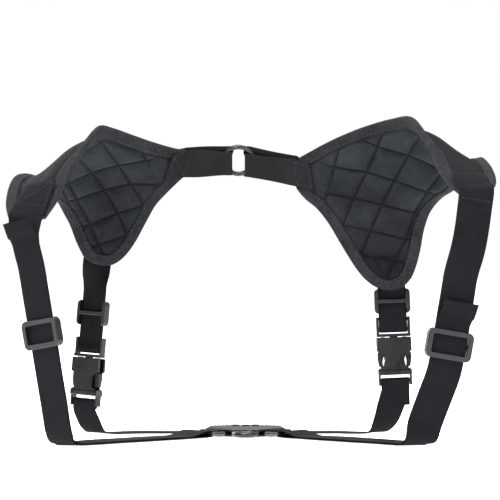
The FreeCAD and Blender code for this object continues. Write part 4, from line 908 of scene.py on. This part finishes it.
def plastic_mat(name, col, rough=0.36, grain=1400.0):
    """Moulded acetal: fine spark-eroded grain, faint flow marks and rubbed gloss."""
    m, nt, b, new = new_mat(name)
    oc = obj_coord(nt)
    g = noise(nt, oc, grain, 2.0)
    flow = noise(nt, oc, 70.0, 4.0)
    lo = tuple(c * 0.8 for c in col)
    hi = tuple(c * 1.35 for c in col)
    nt.links.new(ramp(nt, flow, [(0.3, lo), (0.7, hi)]), b.inputs["Base Color"])
    nt.links.new(ramp(nt, flow, [(0.3, (rough - 0.07,) * 3), (0.7, (rough + 0.12,) * 3)]), b.inputs["Roughness"])
    b.inputs["Specular IOR Level"].default_value = 0.42
    bump(nt, b, g, 0.00005, 0.7)
    return m


def leather_mat(name, dark, light):
    m, nt, b, new = new_mat(name)
    oc = obj_coord(nt)
    v = nt.nodes.new("ShaderNodeTexVoronoi")
    v.inputs["Scale"].default_value = 900.0
    nt.links.new(oc, v.inputs["Vector"])
    n1 = noise(nt, oc, 60.0, 4.0)
    h = math_node(nt, "ADD", v.outputs["Distance"], math_node(nt, "MULTIPLY", n1, 0.5))
    nt.links.new(ramp(nt, math_node(nt, "ADD", math_node(nt, "MULTIPLY", n1, 0.7), math_node(nt, "MULTIPLY", v.outputs["Distance"], 0.4)), [(0.3, dark), (0.8, light)]), b.inputs["Base Color"])
    nt.links.new(ramp(nt, n1, [(0.3, (0.42,) * 3), (0.7, (0.6,) * 3)]), b.inputs["Roughness"])
    b.inputs["Specular IOR Level"].default_value = 0.45
    bump(nt, b, h, 0.00025, 0.7)
    return m


def metal_mat(name, col):
    m, nt, b, new = new_mat(name)
    oc = obj_coord(nt)
    n1 = noise(nt, oc, 300.0, 4.0)
    nt.links.new(ramp(nt, n1, [(0.3, tuple(c * 0.8 for c in col)), (0.7, tuple(c * 1.3 for c in col))]), b.inputs["Base Color"])
    nt.links.new(ramp(nt, n1, [(0.3, (0.3,) * 3), (0.7, (0.42,) * 3)]), b.inputs["Roughness"])
    b.inputs["Metallic"].default_value = 0.9
    bump(nt, b, n1, 0.00003, 0.5)
    return m


M_LINING = knit_mat("quilted_knit", (0.0042, 0.0052, 0.0066), (0.0340, 0.0392, 0.0455), pitch=0.0021)
M_OUTER = weave_mat("outer_weave", (0.0046, 0.0044, 0.0052), (0.0190, 0.0185, 0.0215))
M_BIND = tape_mat("binding_tape", (0.0060, 0.0058, 0.0070), (0.0420, 0.0412, 0.0470))
M_FRONT = webbing_mat("front_webbing", (0.0010, 0.0010, 0.0015), (0.0106, 0.0103, 0.0140))
M_SIDE = webbing_mat("side_webbing", (0.0010, 0.0010, 0.0014), (0.0102, 0.0100, 0.0130), rib=0.0014, cross=0.0018)
M_LINK = webbing_mat("ring_webbing", (0.0022, 0.0022, 0.0026), (0.0175, 0.0175, 0.0200), rib=0.0014, cross=0.0018)
M_THREAD = weave_mat("thread", (0.006, 0.006, 0.007), (0.022, 0.022, 0.025), pitch=0.0005, rough=0.55)
M_SEAM = weave_mat("seam_thread", (0.020, 0.020, 0.023), (0.060, 0.060, 0.068), pitch=0.0005, rough=0.55)
M_PLASTIC = plastic_mat("buckle_plastic", (0.0055, 0.0055, 0.0072))
M_BUCKLE = plastic_mat("buckle_black", (0.0038, 0.0038, 0.0048), 0.30)
M_RING = plastic_mat("ring_plastic", (0.0100, 0.0108, 0.0132), 0.30)
M_HOOK = plastic_mat("hook_plastic", (0.009, 0.009, 0.011), 0.28)
M_LEATHER = leather_mat("yoke_leather", (0.0045, 0.0040, 0.0040), (0.0160, 0.0140, 0.0135))
M_METAL = metal_mat("black_plated", (0.09, 0.09, 0.10))
M_FOAM = weave_mat("foam_cells", (0.05, 0.05, 0.055), (0.12, 0.12, 0.13), pitch=0.002, rough=0.9)

for node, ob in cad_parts.items():
    o = bpy.data.objects[ob] if isinstance(ob, str) else ob
    mat = M_PLASTIC
    if "foam" in node:
        mat = M_FOAM
    elif "buckle" in node or "arm" in node:
        mat = M_BUCKLE
    elif node == "shoulder_ring":
        mat = M_RING
    elif "hook" in node:
        mat = M_HOOK
    elif "leather" in node:
        mat = M_LEATHER
    if "square_ring" in node or "rivet" in node or "pin" in node:
        mat = M_METAL
    o.data.materials.clear()
    o.data.materials.append(mat)


# ------------------------------------------------------------ quilting
# sewn lines in front view, (x, z) in mm, and how wide the puffs between them are
L_QUILT = [[(-149.57, 79.57), (-139.13, 69.04), (-128.7, 54.35), (-117.83, 35.65), (-108.7, 15.65)], [(-129.57, 94.35), (-115.65, 75.65), (-105.22, 58.26), (-93.91, 40.87)], [(-94.78, 85.22), (-88.26, 74.35), (-80.0, 58.26)], [(-151.3, 46.09), (-141.74, 28.7), (-134.78, 13.04)], [(-168.7, 64.35), (-161.74, 52.17), (-156.52, 39.13)], [(-145.22, 87.83), (-134.78, 94.35)], [(-160.87, 59.57), (-139.13, 69.04), (-115.65, 75.65), (-97.83, 78.26), (-80.87, 80.87)], [(-151.3, 46.09), (-129.57, 53.04), (-105.22, 58.26), (-80.87, 58.26)], [(-143.48, 21.74), (-117.83, 32.17), (-96.52, 38.26)], [(-134.78, 4.35), (-111.3, 12.17)]]
R_QUILT = [[(76.52, 80.87), (68.7, 53.04)], [(112.17, 92.17), (102.61, 69.57), (90.43, 44.35), (82.61, 25.22)], [(146.96, 98.26), (139.13, 84.35), (126.96, 61.74), (114.78, 38.26), (105.22, 16.52), (97.83, -1.74)], [(166.96, 68.7), (154.78, 53.04), (142.17, 33.04), (135.65, 10.43), (131.0, 1.5), (123.48, -15.65)], [(108.7, 93.04), (139.13, 84.35), (165.22, 73.04)], [(58.26, 74.78), (74.78, 73.04), (102.61, 68.7), (126.96, 61.3), (154.78, 52.17)], [(65.65, 49.57), (91.3, 45.22), (115.65, 40.0), (140.87, 33.91)], [(84.35, 20.87), (106.96, 16.52), (136.52, 9.57)], [(100.0, -5.22), (117.39, -7.83), (136.52, -11.3)]]


def line_distance(x, z, line):
    """Distance of every point (arrays) from a sewn line, carried straight on past both ends."""
    best = np.full(x.shape, 1e9)
    n = len(line)
    for i in range(n - 1):
        ax, az = line[i]
        bx, bz = line[i + 1]
        dx, dz = bx - ax, bz - az
        t = ((x - ax) * dx + (z - az) * dz) / (dx * dx + dz * dz)
        t = np.clip(t, -9.0 if i == 0 else 0.0, 10.0 if i == n - 2 else 1.0)
        best = np.minimum(best, np.hypot(x - ax - dx * t, z - az - dz * t))
    return best


def upsample(a, nu, nv):
    """Cubic refinement of a grid of values, (I, J, k) to (nu + 1, nv + 1, k)."""
    def one(a, n):
        m = a.shape[0] - 1
        t = np.linspace(0, m, n + 1)
        k = np.clip(t.astype(int), 0, m - 1)
        f = (t - k).reshape(-1, *([1] * (a.ndim - 1)))
        pad = np.concatenate([2 * a[:1] - a[1:2], a, 2 * a[-1:] - a[-2:-1]])
        p0, p1, p2, p3 = pad[k], pad[k + 1], pad[k + 2], pad[k + 3]
        return 0.5 * (2 * p1 + (p2 - p0) * f + (2 * p0 - 5 * p1 + 4 * p2 - p3) * f ** 2 + (3 * p1 - p0 - 3 * p2 + p3) * f ** 3)
    a = one(a, nu)
    return np.swapaxes(one(np.swapaxes(a, 0, 1), nv), 0, 1)


def ease(x):
    x = np.clip(x, 0.0, 1.0)
    return x * x * (3.0 - 2.0 * x)


# short creases in the lobe where the side strap is sewn through from behind
CREASES = {"right": [((107.83, -6.96), (125.22, -5.22)), ((108.7, -6.96), (118.27, -26.09)), ((124.35, -6.09), (117.4, -26.09)), ((125.22, -5.22), (131.31, -21.74)), ((112.18, -25.22), (127.83, -12.17))]}


def pad_meshes(pad, tag, lines, quilt):
    """Quilted lining and plain cover of one pad, each a closed padded sheet."""
    CU, CV, NU, NV = 50, 60, 230, 270
    grid = np.zeros((CU + 1, CV + 1, 7))
    for i in range(CU + 1):
        for j in range(CV + 1):
            p, du, dv, n = pad.frame(i / CU, j / CV)
            grid[i, j] = (*p, *n, pad.edge_distance(p))
    g = upsample(grid, NU, NV)
    P, N, d = g[..., :3], g[..., 3:6], np.maximum(g[..., 6], 0.0)
    N = N / np.linalg.norm(N, axis=-1, keepdims=True)
    half = FOAM_H_RIM + FOAM_H_MID * ease((d - 2.0) / 18.0)
    k = 2500.0 / (2500.0 + P[..., 1])
    x, z = P[..., 0] * k, (P[..., 2] + 89.0) * k
    us = np.concatenate([[0], np.cumsum(np.linalg.norm(np.diff(P, axis=0), axis=-1).mean(axis=1))])
    vs = np.concatenate([[0], np.cumsum(np.linalg.norm(np.diff(P, axis=1), axis=-1).mean(axis=0))])
    U, Vv = np.meshgrid(us, vs, indexing="ij")
    # past the ridge the sewn lines go on as two plain families
    dist = np.full(d.shape, 1e9)
    for l in lines:
        dist = np.minimum(dist, line_distance(x, z, l))
    pitch = quilt
    a = np.abs((((U + Vv) / pitch) + 0.5) % 1.0 - 0.5) * pitch * 0.70
    b = np.abs((((U - Vv) / pitch) + 0.5) % 1.0 - 0.5) * pitch * 0.70
    other = np.minimum(a, b)
    vfrac = np.linspace(0, 1, NV + 1)[None, :] * np.ones((NU + 1, 1))
    back = ease((vfrac - (V_RIDGE - 0.02)) / 0.07)
    dist = dist * back + other * (1 - back)
    in_rim = ease((d - 7.5) / 5.0)
    puff = 1.0 - np.exp(-((dist / 3.6) ** 1.25))
    body = (puff * 3.7 - 1.15) * in_rim
    tuck = 0.16 * np.exp(-((dist - 2.2) / 2.2) ** 2) * np.sin(U * 1.05 + 2.0 * np.sin(Vv * 0.35)) * np.sin(Vv * 0.93 + 1.1) * in_rim
    slack = (0.30 * np.sin(U / 9.0 + 1.2 * np.sin(Vv / 13.0)) + 0.22 * np.sin(Vv / 7.0 + np.sin(U / 10.0 + 0.7))) * in_rim * puff
    under = np.full(d.shape, 1e9)
    for q0, q1 in zip(STRAPS[tag + "_ring_link"][:3], STRAPS[tag + "_ring_link"][1:4]):
        a0, b0 = np.array(q0[0]), np.array(q1[0])
        t = np.clip(((P - a0) @ (b0 - a0)) / np.dot(b0 - a0, b0 - a0), -0.2, 1)
        under = np.minimum(under, np.linalg.norm(P - a0 - t[..., None] * (b0 - a0), axis=-1))
    flat = ease((under - 14.5) / 5.0)
    body, tuck, slack = body * (0.12 + 0.88 * flat), tuck * flat, slack * flat
    fold = np.full(d.shape, 1e9)
    for (ax, az), (bx, bz) in CREASES.get(tag, ()):
        t = np.clip(((x - ax) * (bx - ax) + (z - az) * (bz - az)) / ((bx - ax) ** 2 + (bz - az) ** 2), 0, 1)
        fold = np.minimum(fold, np.hypot(x - ax - (bx - ax) * t, z - az - (bz - az) * t))
    fold = np.where(vfrac > V_RIDGE, fold, 1e9)
    body = body - 0.9 * np.exp(-((fold / 1.5) ** 1.5)) * in_rim * ease((body + 1.15) / 2.0)
    lin = P - N * (half + LINING_T + body + tuck + slack)[..., None]
    cover = 0.55 * in_rim * np.sin(U / 9.0 + Vv / 21.0) * np.sin(Vv / 14.0 + 0.8) + 0.25 * in_rim * np.sin(Vv / 5.5 + U / 19.0)
    out = P + N * (half + OUTER_T + cover)[..., None]
    lin_in = P - N * (half + 0.05)[..., None]
    out_in = P + N * (half + 0.05)[..., None]
    uv = np.stack([U * MM, Vv * MM], axis=-1).reshape(-1, 2).tolist()
    W = NV + 1

    def slab_obj(name, hi, lo, mat, node):
        hi, lo = hi.reshape(-1, 3).tolist(), lo.reshape(-1, 3).tolist()
        n = len(hi)
        verts = hi + lo
        faces = []
        for i in range(NU):
            for j in range(NV):
                a = i * W + j
                faces.append((a, a + 1, a + W + 1, a + W))
                faces.append((n + a, n + a + W, n + a + W + 1, n + a + 1))
        ring = [j for j in range(NV)] + [i * W + NV for i in range(NU)] + [NU * W + j for j in range(NV, 0, -1)] + [i * W for i in range(NU, 0, -1)]
        for k in range(len(ring)):
            a, b = ring[k], ring[(k + 1) % len(ring)]
            faces.append((a, b, b + n, a + n))
        ob = mesh_obj(name, verts, faces, uv + uv, mat)
        fix_normals(ob)
        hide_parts(node)
        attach(ob, "harness")
        return ob
    ob = slab_obj(tag + "_quilted_lining", lin, lin_in, M_LINING, tag + "_pad_lining")
    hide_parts(tag + "_pad_foam")
    # painted crease shade mask for the lining material: strongest on the sewn quilting lines, on a line just inside
    # the binding and along the lobe creases
    painted_crease_shade = ob.data.attributes.new("painted_crease_shade", "FLOAT", "POINT")
    crease_shade_mask = 0.9 * np.exp(-((dist / 0.8) ** 1.6)) * in_rim * flat
    crease_shade_mask = np.maximum(crease_shade_mask, 0.45 * np.exp(-((d - 9.6) / 1.3) ** 2))
    crease_shade_mask = np.maximum(crease_shade_mask, 0.6 * np.exp(-((fold / 0.8) ** 1.6)) * in_rim)
    painted_crease_shade.data.foreach_set("value", np.concatenate([crease_shade_mask.ravel(), crease_shade_mask.ravel()]).astype(np.float32))
    slab_obj(tag + "_outer_cover", out, out_in, M_OUTER, tag + "_pad_outer")
    # quilting thread along the sewn lines, found on the back half
    runs = []
    for line in lines:
        pts = []
        L = 0.0
        for (ax, az), (bx, bz) in zip(line, line[1:]):
            k = max(1, int(math.hypot(bx - ax, bz - az) / 3.0))
            for s in range(k):
                pts.append((ax + (bx - ax) * s / k, az + (bz - az) * s / k))
        pts.append(line[-1])
        run = []
        for x, z in pts:
            y = 70.0
            for _ in range(3):
                kk = (2500.0 + y) / 2500.0
                uu, vv = pad.find(x * kk, z * kk - 89.0)
                p, du, dv, n = pad.frame(uu, vv)
                y = p.y
            kk = (2500.0 + y) / 2500.0
            if math.hypot(p.x - x * kk, p.z + 89.0 - z * kk) < 1.5 and pad.edge_distance(p) > 8.5:
                if run and (p - last_p).length > 7.0:
                    if len(run) > 2:
                        runs.append(run)
                    run = []
                last_p = p.copy()
                run.append((p - n * (pad.half(p) + LINING_T - 1.15 + 0.02), n * -1))
        if len(run) > 2:
            runs.append(run)
    thread(tag + "_quilt_thread", runs, M_THREAD, r=0.22, length=2.6, gap=0.7)


def march(pad, u, v, way, dist, steps=2):
    """Walks over the pad from (u, v) by dist mm in the given direction."""
    for _ in range(steps):
        p, du, dv, n = pad.frame(u, v)
        st = way * (dist / steps)
        a11, a12, a22 = du.dot(du), du.dot(dv), dv.dot(dv)
        det = a11 * a22 - a12 * a12
        b1, b2 = du.dot(st), dv.dot(st)
        u = min(1.0, max(0.0, u + (b1 * a22 - b2 * a12) / det))
        v = min(1.0, max(0.0, v + (b2 * a11 - b1 * a12) / det))
    return u, v


def binding_mesh(pad, tag):
    """Rounded folded tape with a pucker at every few stitches, and its thread."""
    n = 130
    runs = [("f", [(i / 40, 0.0) for i in range(40)]),
            ("a", [(1.0, i / n) for i in range(n)]),
            ("b", [(1 - i / n, 1.0) for i in range(n)]),
            ("n", [(0.0, 1 - i / n) for i in range(n)])]
    verts, uvs, rows = [], [], []
    s_run, last = 0.0, None
    t_line, b_line = [], []
    r = random.Random(3)

    def tout(u, v, side):
        p, du, dv, nn = pad.frame(u, v)
        t = unit(dv if side in ("n", "a") else du)
        w = {"n": du * -1, "a": du, "f": dv * -1, "b": dv}[side]
        return unit(w - t * w.dot(t))
    for k, (side, uv) in enumerate(runs):
        prev = runs[k - 1][0]
        for i, (u, v) in enumerate(uv):
            p, du, dv, nn = pad.frame(u, v)
            o = tout(u, v, side)
            if i == 0:
                o2 = tout(u, v, prev)
                o = unit(o + o2)
            if last is not None:
                s_run += (p - last).length
            last = p
            pk = 0.14 * math.sin(s_run / 1.9) + 0.18 * math.sin(s_run / 7.0 + 1.3) + 0.12 * math.sin(s_run / 13.0)
            e = TAPE_GAP + BIND_T
            wv = 0.35 * math.sin(s_run / 16.0) + 0.2 * math.sin(s_run / 5.0)
            pts = []
            steps = [0.0, 0.15, 0.35, 0.6, 0.85, 1.0]
            ups, dns = [], []
            uu, vv, f0 = u, v, 0.0
            for f in steps:
                if f > 0:
                    uu, vv = march(pad, uu, vv, o * -1, (8.8 + wv) * (f - f0))
                    f0 = f
                pm, _, _, nm = pad.frame(uu, vv)
                h = pad.half(pm)
                bow = 0.35 * math.sin(math.pi * f)
                ups.append((pm, nm, h + OUTER_T + TAPE_GAP + bow + pk * math.sin(math.pi * min(1, f * 1.1)) * 0.6))
                dns.append((pm, nm, h + LINING_T + TAPE_GAP + bow * 1.4 + pk * math.sin(math.pi * min(1, f * 1.1)) * 0.6))
            sec = []
            sec.append(ups[-1][0] + ups[-1][1] * (ups[-1][2] - 0.15))
            for q, m, h in reversed(ups):
                sec.append(q + m * (h + BIND_T) + (o * (e * 0.55) if q is ups[0][0] else o * 0))
            h0u, h0d = ups[0][2] + BIND_T, dns[0][2] + BIND_T
            for a in (0.35, 0.5, 0.65):
                z = h0u * math.cos(math.pi * a) if a < 0.5 else h0d * math.cos(math.pi * a)
                sec.append(p + nn * z + o * (e * (0.55 + 0.45 * math.sin(math.pi * a))) + o * 0.15)
            for q, m, h in dns:
                sec.append(q - m * (h + BIND_T) + (o * (e * 0.55) if q is dns[0][0] else o * 0))
            sec.append(dns[-1][0] - dns[-1][1] * (dns[-1][2] - 0.15))
            t_line.append((ups[4][0] + ups[4][1] * (ups[4][2] + BIND_T), ups[4][1]))
            b_line.append((dns[4][0] - dns[4][1] * (dns[4][2] + BIND_T), dns[4][1] * -1))
            rows.append(len(verts))
            acc = 0.0
            for idx, q in enumerate(sec):
                if idx:
                    acc += (q - sec[idx - 1]).length
                verts.append(q)
                uvs.append((acc * MM, s_run * MM))
            msec = len(sec)
    faces = []
    N = len(rows)
    for i in range(N):
        a, b = rows[i], rows[(i + 1) % N]
        for j in range(msec - 1):
            faces.append((a + j, a + j + 1, b + j + 1, b + j))
        faces.append((a + msec - 1, a, b, b + msec - 1))
    ob = mesh_obj(tag + "_binding_tape", verts, faces, uvs, M_BIND)
    fix_normals(ob)
    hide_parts(tag + "_pad_binding")
    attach(ob, "harness")
    thread(tag + "_binding_thread", [b_line + b_line[:1], t_line + t_line[:1]], M_SEAM, r=0.34, length=2.9, gap=1.5)


pad_meshes(LP, "left", L_QUILT, 23.0)
pad_meshes(RP, "right", R_QUILT, 24.0)
binding_mesh(LP, "left")
binding_mesh(RP, "right")

# ------------------------------------------------------------ straps
for name, st in STRAPS.items():
    if name.endswith("ring_link"):
        continue
    front = "front_strap" in name
    low = "lower_side" in name
    mat, slot = (M_FRONT, "front_webbing") if front else (M_SIDE, "side_webbing")
    if name == "hook_tab":
        mat, slot = M_LEATHER, "leather"
    if front:
        shift = -3.0 if name.startswith("left") else 3.5
        st = list(st)
        k0 = len(st)
        for k in range(k0 - 3, k0):
            f = (0.35, 0.55, 1.0)[k - (k0 - 3)]
            p, w, n, b, t = st[k]
            st[k] = (p + w * (shift * f) - n * (1.2 * f), w, n, b, t)
    d = dense(st, 2.0)
    ob = strap_mesh(name + "_cloth", d, mat, [name], wobble=0.0 if ("keeper" in name or "tab" in name) else 0.10, seed=len(name), body=None if low else "harness")
    if low:
        tag = name.split("_")[0]
        o, up = SOCKET[tag]
        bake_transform(ob)


def leather_plate(name, z0, z1, mat, node, dome=0.0):
    """Cut leather with rounded corners and rounded edges."""
    yo = [(-36, -13.4), (-9, -41), (9, -41), (36, -13.4), (31, 26), (20, 31), (-20, 31), (-31, 26)]
    pts = []
    n = len(yo)
    for i in range(n):
        p = Vector((*yo[i], 0))
        a, b = Vector((*yo[i - 1], 0)) - p, Vector((*yo[(i + 1) % n], 0)) - p
        a.normalize()
        b.normalize()
        cut = 4.0 / math.tan(a.angle(b) / 2)
        s, e = p + a * cut, p + b * cut
        for k in range(7):
            f = k / 6
            pts.append(s * (1 - f) ** 2 + p * (2 * f * (1 - f)) + e * f ** 2)
    mid = Vector((0, -3, 0))
    rows = [(0.0, 0.35, 0), (0.12, 0.12, 0), (0.45, 0.0, 0)]
    prof = [(0.5, 0.0), (0.14, 0.14), (0.0, 0.5), (0.0, 1.1), (0.14, 1.46), (0.5, 1.6)]
    verts, faces = [], []
    m = len(pts)
    rings = []
    steps = [1 - q / 9 for q in range(1, 9)]

    def ringof(scale, inset_mm, z, hump):
        base = len(verts)
        for q in pts:
            d = (q - mid)
            r = q - d.normalized() * inset_mm if scale == 1 else mid + (q - mid) * scale
            h = hump * (1 - scale ** 2)
            verts.append((YOKE_C.x + r.x, YOKE_C.y + r.y, z + h))
        rings.append(base)
    for s in reversed(steps):
        ringof(s, 0, z0, 0)
    for ins, h in prof:
        ringof(1, ins, z0 + (z1 - z0) * h / 1.6, 0)
    for s in steps:
        ringof(s, 0, z1, dome)
    for a, b in zip(rings, rings[1:]):
        for j in range(m):
            faces.append((a + j, a + (j + 1) % m, b + (j + 1) % m, b + j))
    faces.append(tuple(rings[0] + j for j in range(m - 1, -1, -1)))
    faces.append(tuple(rings[-1] + j for j in range(m)))
    ob = mesh_obj(name, verts, faces, None, mat)
    fix_normals(ob)
    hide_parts(node)
    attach(ob, "harness")
    line = []
    for q in pts + pts[:1]:
        r = q - (q - mid).normalized() * 2.4
        line.append((V(YOKE_C.x + r.x, YOKE_C.y + r.y, z1), ZUP))
    return line


leather_plate("yoke_lower_cut", REST_Z + 0.05, REST_Z + 1.65, M_LEATHER, "yoke_leather_lower")
yoke_line = leather_plate("yoke_upper_cut", REST_Z + 4.75, REST_Z + 6.35, M_LEATHER, "yoke_leather_upper")
thread("yoke_stitching", [yoke_line], M_THREAD, r=0.3, length=2.6, gap=1.0)


def ring_link(name, st, sx):
    """Webbing loop that cups the round section of the ring, creased where it gathers."""
    half_w = 12.3
    n_pad = 4
    front, rear = st[:n_pad], st[-n_pad:]
    tube = RING_TUBE + 0.25 + WEB_T / 2
    cols = 25
    rows = []

    drop = -1.8 if sx < 0 else -3.4
    lift = 3.0 if sx < 0 else 4.6

    def torus(a, s, r):
        gather = smooth((abs(s) - 7.5) / 5.0)
        centre = RING_C + V(sx * (9.0 - 1.1 * gather), 0, 0) + ring_up * (s * 0.93 + drop)
        o = ring_n * math.cos(a) + V(-sx, 0, 0) * math.sin(a)
        return centre + o * (r + 0.25 * gather), o
    ss = [half_w * (-1 + 2 * k / (cols - 1)) for k in range(cols)]

    def straight(q):
        return [(q[0] + q[1] * x, q[2]) for x in ss]
    d = dense(front, 2.0)
    rows += [straight(q) for q in d]
    a_end = d[-1]

    def bridge(q, rev):
        out = []
        for k in range(1, 12):
            f = k / 12
            g = smooth(f)
            row = []
            for x in ss:
                p0 = q[0] + q[1] * x
                p1, o1 = torus(0.0 if not rev else math.pi, x, tube)
                away = V(sx * 9.0, 0, 0)
                m0 = unit(V(-sx, 0, 0)) * 16.0
                m1 = V(-sx * 14.0, 0, 0)
                h00, h10, h01, h11 = 2 * f ** 3 - 3 * f * f + 1, f ** 3 - 2 * f * f + f, -2 * f ** 3 + 3 * f * f, f ** 3 - f * f
                p = p0 * h00 + m0 * h10 + p1 * h01 + m1 * h11
                crease = 0.5 * math.sin(math.pi * f) * math.sin(x * 0.55 + 0.6) * f
                up = (lift * (0.6 + 0.4 * g) if rev else 0.0) + 0.55 * math.sin(math.pi * f) * math.sin(4.2 * f + x * 0.09 + sx)
                row.append((p + lerp(q[2], o1, g) * crease + ring_up * up, unit(lerp(q[2], o1, g))))
            out.append(row)
        return out
    rows += bridge(a_end, False)
    for k in range(13):
        up = ring_up * (lift * smooth((k - 5) / 7.0))
        rows.append([(p + up, o) for p, o in (torus(math.pi * k / 12, x, tube) for x in ss)])
    back = dense(rear, 2.0)
    rows += list(reversed(bridge(back[0], True)))
    for k, q in enumerate(back):
        up = ring_up * (lift * 0.6 * (1.0 - smooth(k / (0.75 * (len(back) - 1)))))
        rows.append([(p + up, o) for p, o in straight(q)])
    verts, uvs, faces = [], [], []
    s_run = 0.0
    t = WEB_T / 2
    for k, row in enumerate(rows):
        if k:
            s_run += (row[cols // 2][0] - rows[k - 1][cols // 2][0]).length
        for x, (p, o) in zip(ss, row):
            edge = 1.0 - 0.35 * (abs(x) / half_w) ** 10
            verts.append(p + o * (t * edge))
            uvs.append((x * MM, s_run * MM))
        for x, (p, o) in zip(ss, row):
            edge = 1.0 - 0.35 * (abs(x) / half_w) ** 10
            verts.append(p - o * (t * edge))
            uvs.append((x * MM, s_run * MM))
    w2 = cols * 2
    for k in range(len(rows) - 1):
        a, b = k * w2, (k + 1) * w2
        for j in range(cols - 1):
            faces.append((a + j, a + j + 1, b + j + 1, b + j))
            faces.append((a + cols + j, b + cols + j, b + cols + j + 1, a + cols + j + 1))
        faces.append((a, b, b + cols, a + cols))
        faces.append((a + cols - 1, a + w2 - 1, b + w2 - 1, b + cols - 1))
    e = (len(rows) - 1) * w2
    for j in range(cols - 1):
        faces.append((j, j + cols, j + cols + 1, j + 1))
        faces.append((e + j, e + j + 1, e + j + cols + 1, e + j + cols))
    ob = mesh_obj(name + "_cloth", verts, faces, uvs, M_LINK)
    fix_normals(ob)
    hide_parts(name)
    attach(ob, "harness")


def box_x(st, i0, i1, inset_w=2.2, off=0.0):
    """Box-and-cross stitching on the strap between two stations."""
    a, b = st[i0], st[i1]

    def corner(s, k):
        return s[0] + s[1] * (k * (s[3] / 2 - inset_w)) + s[2] * (s[4] / 2 + off), s[2]
    c = [corner(a, -1), corner(a, 1), corner(b, 1), corner(b, -1)]
    out = []

    def seg(p, q):
        line = []
        for k in range(9):
            f = k / 8
            line.append((lerp(p[0], q[0], f), unit(lerp(p[1], q[1], f))))
        return line
    for i in range(4):
        out.append(seg(c[i], c[(i + 1) % 4]))
    out.append(seg(c[0], c[2]))
    out.append(seg(c[1], c[3]))
    return out


ring_link("left_ring_link", STRAPS["left_ring_link"], -1)
ring_link("right_ring_link", STRAPS["right_ring_link"], 1)

sew = []
for name, st in STRAPS.items():
    if name.endswith("front_strap"):
        d = dense(st, 4.0)
        k = min(range(len(d) // 3), key=lambda i: abs((d[i][0] - d[0][0]).length - 30.0))
        sew += box_x(d, 1, k)
        t0 = len(d) - 3
        e = d[-1]
        for f in (0.25, 0.8):
            base = e[0] - unit(d[-1][0] - d[-4][0]) * (13.0 * (1 - f) + 0.5)
            nn = e[2]
            sg = -1 if "left" in name or "right" in name else 1
            pts = []
            for kx in range(9):
                x = -1 + 2 * kx / 8
                pts.append((base + e[1] * (x * 13.5) + nn * (-e[4] / 2 - 0.05), nn * -1))
            sew.append(pts)
    if name.endswith("ring_link"):
        d = dense(st, 3.0)
        sew += box_x([(p, w, n, 24.4, t) for p, w, n, b, t in d], 1, 7)
        dd = list(reversed(d))
        sew += box_x([(p, w, n, 24.4, t) for p, w, n, b, t in dd], 1, 7)
    if name.endswith("_side_strap") and "lower" not in name:
        d = dense(st, 3.0)
        sew += box_x(d, 1, 8)
thread("strap_stitching", sew, M_SEAM, r=0.27, length=2.4, gap=0.8)

# ------------------------------------------------------------ stage, light and camera
zf = REST_Z - 0.6
bv = [(-14000.0, -14000.0, zf), (14000.0, -14000.0, zf), (14000.0, 14000.0, zf), (-14000.0, 14000.0, zf)]
bf = [(0, 1, 2, 3)]
m, nt, b, new = new_mat("studio_paper")
oc = obj_coord(nt)
nt.links.new(ramp(nt, noise(nt, oc, 3.0, 2.0), [(0.3, (0.93, 0.93, 0.93)), (0.7, (0.95, 0.95, 0.95))]), b.inputs["Base Color"])
b.inputs["Roughness"].default_value = 0.9
b.inputs["Emission Color"].default_value = (1, 1, 1, 1)
b.inputs["Emission Strength"].default_value = 1.0
floor = mesh_obj("studio_floor", bv, bf, None, m)

w = bpy.data.worlds.new("studio") if bpy.context.scene.world is None else bpy.context.scene.world
w.use_nodes = True
wt = w.node_tree
wt.nodes.clear()
lit = wt.nodes.new("ShaderNodeBackground")
seen = wt.nodes.new("ShaderNodeBackground")
seen.inputs["Color"].default_value = (1, 1, 1, 1)
seen.inputs["Strength"].default_value = 1.0
lit.inputs["Color"].default_value = (1, 1, 1, 1)
sky = wt.nodes.new("ShaderNodeTexCoord")
part = wt.nodes.new("ShaderNodeSeparateXYZ")
wt.links.new(sky.outputs["Generated"], part.inputs[0])
soft = wt.nodes.new("ShaderNodeMapRange")
soft.interpolation_type = "SMOOTHSTEP"
soft.inputs["From Min"].default_value = 0.10
soft.inputs["From Max"].default_value = 0.55
soft.inputs["To Min"].default_value = 0.22
soft.inputs["To Max"].default_value = 0.95
wt.links.new(part.outputs["Y"], soft.inputs["Value"])
wt.links.new(soft.outputs["Result"], lit.inputs["Strength"])
ray = wt.nodes.new("ShaderNodeLightPath")
pick = wt.nodes.new("ShaderNodeMixShader")
wt.links.new(ray.outputs["Is Camera Ray"], pick.inputs[0])
wt.links.new(lit.outputs[0], pick.inputs[1])
wt.links.new(seen.outputs[0], pick.inputs[2])
sky_out = wt.nodes.new("ShaderNodeOutputWorld")
wt.links.new(pick.outputs[0], sky_out.inputs["Surface"])
bpy.context.scene.world = w
bpy.context.scene.view_settings.view_transform = "Standard"


def area(name, loc, target, size, power):
    l = bpy.data.lights.new(name, "AREA")
    l.shape = "RECTANGLE"
    l.size, l.size_y = size
    l.energy = power
    ob = bpy.data.objects.new(name, l)
    bpy.context.scene.collection.objects.link(ob)
    ob.location = loc
    d = Vector(target) - Vector(loc)
    ob.rotation_euler = d.to_track_quat("-Z", "Y").to_euler()
    return ob


area("key", (-0.55, -1.0, 1.6), (0, 0, -0.05), (0.8, 0.6), 62)
area("fill", (1.5, -1.5, 0.5), (0, 0, -0.05), (0.8, 1.0), 16)
area("top", (0.25, 0.1, 1.6), (0, 0, 0), (0.9, 0.7), 30)
area("rear", (-1.5, 1.7, 0.8), (0, 0, -0.05), (0.8, 0.8), 34)

cam = bpy.data.cameras.new("camera")
cam.sensor_width = 36.0
cam.lens = 2875.0 / 500.0 * 36.0
cam.clip_end = 60.0
co = bpy.data.objects.new("camera", cam)
bpy.context.scene.collection.objects.link(co)
co.location = (0.0, -2.5, -0.089)
co.rotation_euler = (math.radians(90.0), 0, 0)
bpy.context.scene.camera = co
